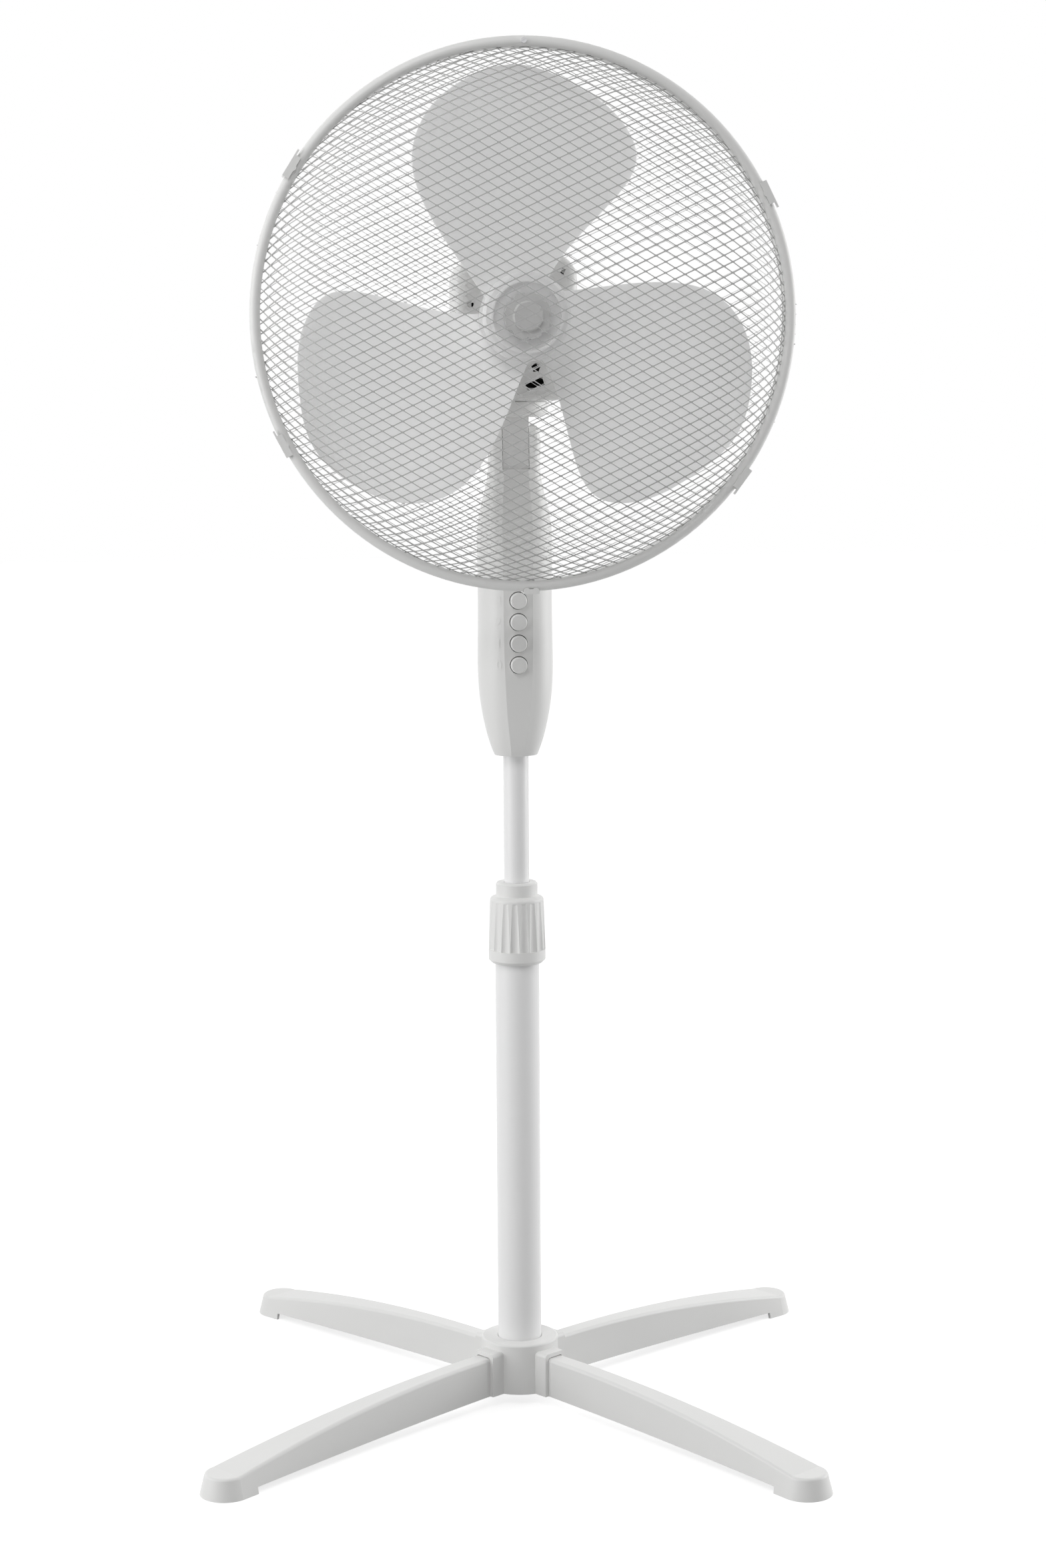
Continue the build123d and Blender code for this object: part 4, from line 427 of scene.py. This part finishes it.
def numeral(figure, across, height, shell):
    """A figure in thin relief, laid on the housing's sloping face beside a button."""
    letter = bpy.data.curves.new(f"figure_{figure}", "FONT")
    letter.body = figure
    letter.size = NUMERAL_SIZE
    letter.align_x = "CENTER"
    letter.align_y = "CENTER"
    letter.resolution_u = NUMERAL_STEPS
    holder = bpy.data.objects.new(f"figure_{figure}", letter)
    bpy.context.scene.collection.objects.link(holder)
    flat_mesh = bpy.data.meshes.new_from_object(
        holder.evaluated_get(bpy.context.evaluated_depsgraph_get())
    )
    bpy.data.objects.remove(holder)
    build = bmesh.new()
    build.from_mesh(flat_mesh)
    bpy.data.meshes.remove(flat_mesh)
    for vertex in build.verts:
        ahead = Vector((across + vertex.co.x, AHEAD_OF_ALL, height + vertex.co.y))
        vertex.co = shell.ray_cast(ahead, Vector((0, 1, 0)))[0] + Vector((0, NUMERAL_SINK, 0))
    grown = bmesh.ops.extrude_face_region(build, geom=build.faces[:])
    for piece in grown["geom"]:
        if isinstance(piece, bmesh.types.BMVert):
            piece.co.y -= NUMERAL_SINK + NUMERAL_RISE
    bmesh.ops.recalc_face_normals(build, faces=build.faces)
    new_piece(f"numeral_{figure}", build, "mast", materials["white_plastic"])


front_shell = surface_finder("control_housing_front")
for figure in "0123":
    button_low, button_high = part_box(f"button_{figure}")
    button_height = (button_low[2] + button_high[2]) / 2
    numeral(figure, -NUMERAL_ASIDE, button_height, front_shell)


def neck_collar():
    """The full round collar under the motor, turned about the pole axis on the tilting neck."""
    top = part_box("tilt_neck")[1][2] - COLLAR_SPACE
    profile = [(COLLAR_INSIDE, top), (COLLAR_INSIDE, top - COLLAR_HEIGHT)]
    for step in range(COLLAR_STEPS + 1):
        bend = math.pi / 2 * step / COLLAR_STEPS
        profile.append((
            COLLAR_RADIUS - COLLAR_ROUND * (1 - math.sin(bend)),
            top - COLLAR_HEIGHT + COLLAR_ROUND * (1 - math.cos(bend)),
        ))
    profile += [(COLLAR_RADIUS, top - COLLAR_EDGE), (COLLAR_RADIUS - COLLAR_EDGE, top)]

    def round_pole(radius, turn, height):
        """A point round the pole's axis."""
        return radius * math.cos(turn), radius * math.sin(turn), height

    build = bmesh.new()
    turn_profile(build, profile, round_pole)
    bmesh.ops.recalc_face_normals(build, faces=build.faces)
    collar = new_piece("neck_collar", build, "tilt", materials["white_plastic"])
    collar.data.shade_smooth()
    collar.data.set_sharp_from_angle(angle=COLLAR_SHARP)


neck_collar()

# Camera, set for the photograph's frame
camera_data = bpy.data.cameras.new("camera")
camera_data.sensor_fit = "VERTICAL"
camera_data.sensor_height = SENSOR_HEIGHT
camera_data.lens = SENSOR_HEIGHT * FOCAL_PIXELS / IMAGE_HEIGHT_PIXELS
camera = bpy.data.objects.new("camera", camera_data)
bpy.context.scene.collection.objects.link(camera)
azimuth = math.radians(CAMERA_AZIMUTH)
camera.matrix_world = (
    Matrix.Translation((
        -CAMERA_DISTANCE * math.sin(azimuth),
        -CAMERA_DISTANCE * math.cos(azimuth),
        CAMERA_HEIGHT,
    ))
    @ Matrix.Rotation(-math.radians(CAMERA_HEADING), 4, "Z")
    @ Matrix.Rotation(math.radians(90 - CAMERA_PITCH), 4, "X")
    @ Matrix.Rotation(math.radians(CAMERA_ROLL), 4, "Z")
)
bpy.context.scene.camera = camera


def soft_lamp(name, place, size, power):
    """A square soft box that faces the middle of the object."""
    data = bpy.data.lights.new(name, "AREA")
    data.size = size
    data.energy = power
    lamp = bpy.data.objects.new(name, data)
    lamp.location = place
    lamp.rotation_euler = (Vector(LAMP_AIM) - Vector(place)).to_track_quat("-Z", "Y").to_euler()
    bpy.context.scene.collection.objects.link(lamp)


for lamp_name, (lamp_place, lamp_size, lamp_power) in LAMPS.items():
    soft_lamp(lamp_name, lamp_place, lamp_size, lamp_power)


def lit_or_seen(tree, lit, seen):
    """One strength where the camera, a mirror or a clear piece sees it, and another where it lights."""
    rays = tree.nodes.new("ShaderNodeLightPath")
    glossy = tree.nodes.new("ShaderNodeMath")
    glossy.operation = "MAXIMUM"
    tree.links.new(rays.outputs["Is Camera Ray"], glossy.inputs[0])
    tree.links.new(rays.outputs["Is Glossy Ray"], glossy.inputs[1])
    through = tree.nodes.new("ShaderNodeMath")
    through.operation = "MAXIMUM"
    tree.links.new(glossy.outputs[0], through.inputs[0])
    tree.links.new(rays.outputs["Is Transmission Ray"], through.inputs[1])
    strength = tree.nodes.new("ShaderNodeMapRange")
    if isinstance(lit, float):
        strength.inputs["To Min"].default_value = lit
    else:
        tree.links.new(lit, strength.inputs["To Min"])
    strength.inputs["To Max"].default_value = seen
    tree.links.new(through.outputs[0], strength.inputs["Value"])
    return strength.outputs[0]


# Pale floor: white to the camera, with the object's shadow left on it
floor_mesh = bpy.data.meshes.new("floor")
floor_build = bmesh.new()
bmesh.ops.create_grid(floor_build, x_segments=1, y_segments=1, size=FLOOR_REACH)
floor_build.to_mesh(floor_mesh)
floor_build.free()
floor = bpy.data.objects.new("floor", floor_mesh)
bpy.context.scene.collection.objects.link(floor)
floor_material, floor_tree, floor_shader = node_tree("pale_floor")
floor_shader.inputs["Base Color"].default_value = (FLOOR_COLOUR, FLOOR_COLOUR, FLOOR_COLOUR, 1)
floor_shader.inputs["Roughness"].default_value = FLOOR_ROUGHNESS
floor_shader.inputs["Emission Color"].default_value = (1, 1, 1, 1)
floor_tree.links.new(
    lit_or_seen(floor_tree, FLOOR_BOUNCE, FLOOR_GLOW), floor_shader.inputs["Emission Strength"]
)
floor_mesh.materials.append(floor_material)

# World: brighter behind the object than in front of it, and white wherever it is seen or mirrored
world = bpy.data.worlds.new("studio")
bpy.context.scene.world = world
world.use_nodes = True
world_tree = world.node_tree
direction = world_tree.nodes.new("ShaderNodeTexCoord")
split = world_tree.nodes.new("ShaderNodeSeparateXYZ")
world_tree.links.new(direction.outputs["Generated"], split.inputs[0])
depth_light = world_tree.nodes.new("ShaderNodeMapRange")
depth_light.inputs["From Min"].default_value = -1
depth_light.inputs["To Min"].default_value = FRONT_LIGHT
depth_light.inputs["To Max"].default_value = BACK_LIGHT
world_tree.links.new(split.outputs["Y"], depth_light.inputs["Value"])
background = world_tree.nodes["Background"]
background.inputs["Color"].default_value = (1, 1, 1, 1)
world_tree.links.new(
    lit_or_seen(world_tree, depth_light.outputs[0], SEEN_LIGHT), background.inputs["Strength"]
)

bpy.context.scene.view_settings.view_transform = "Standard"
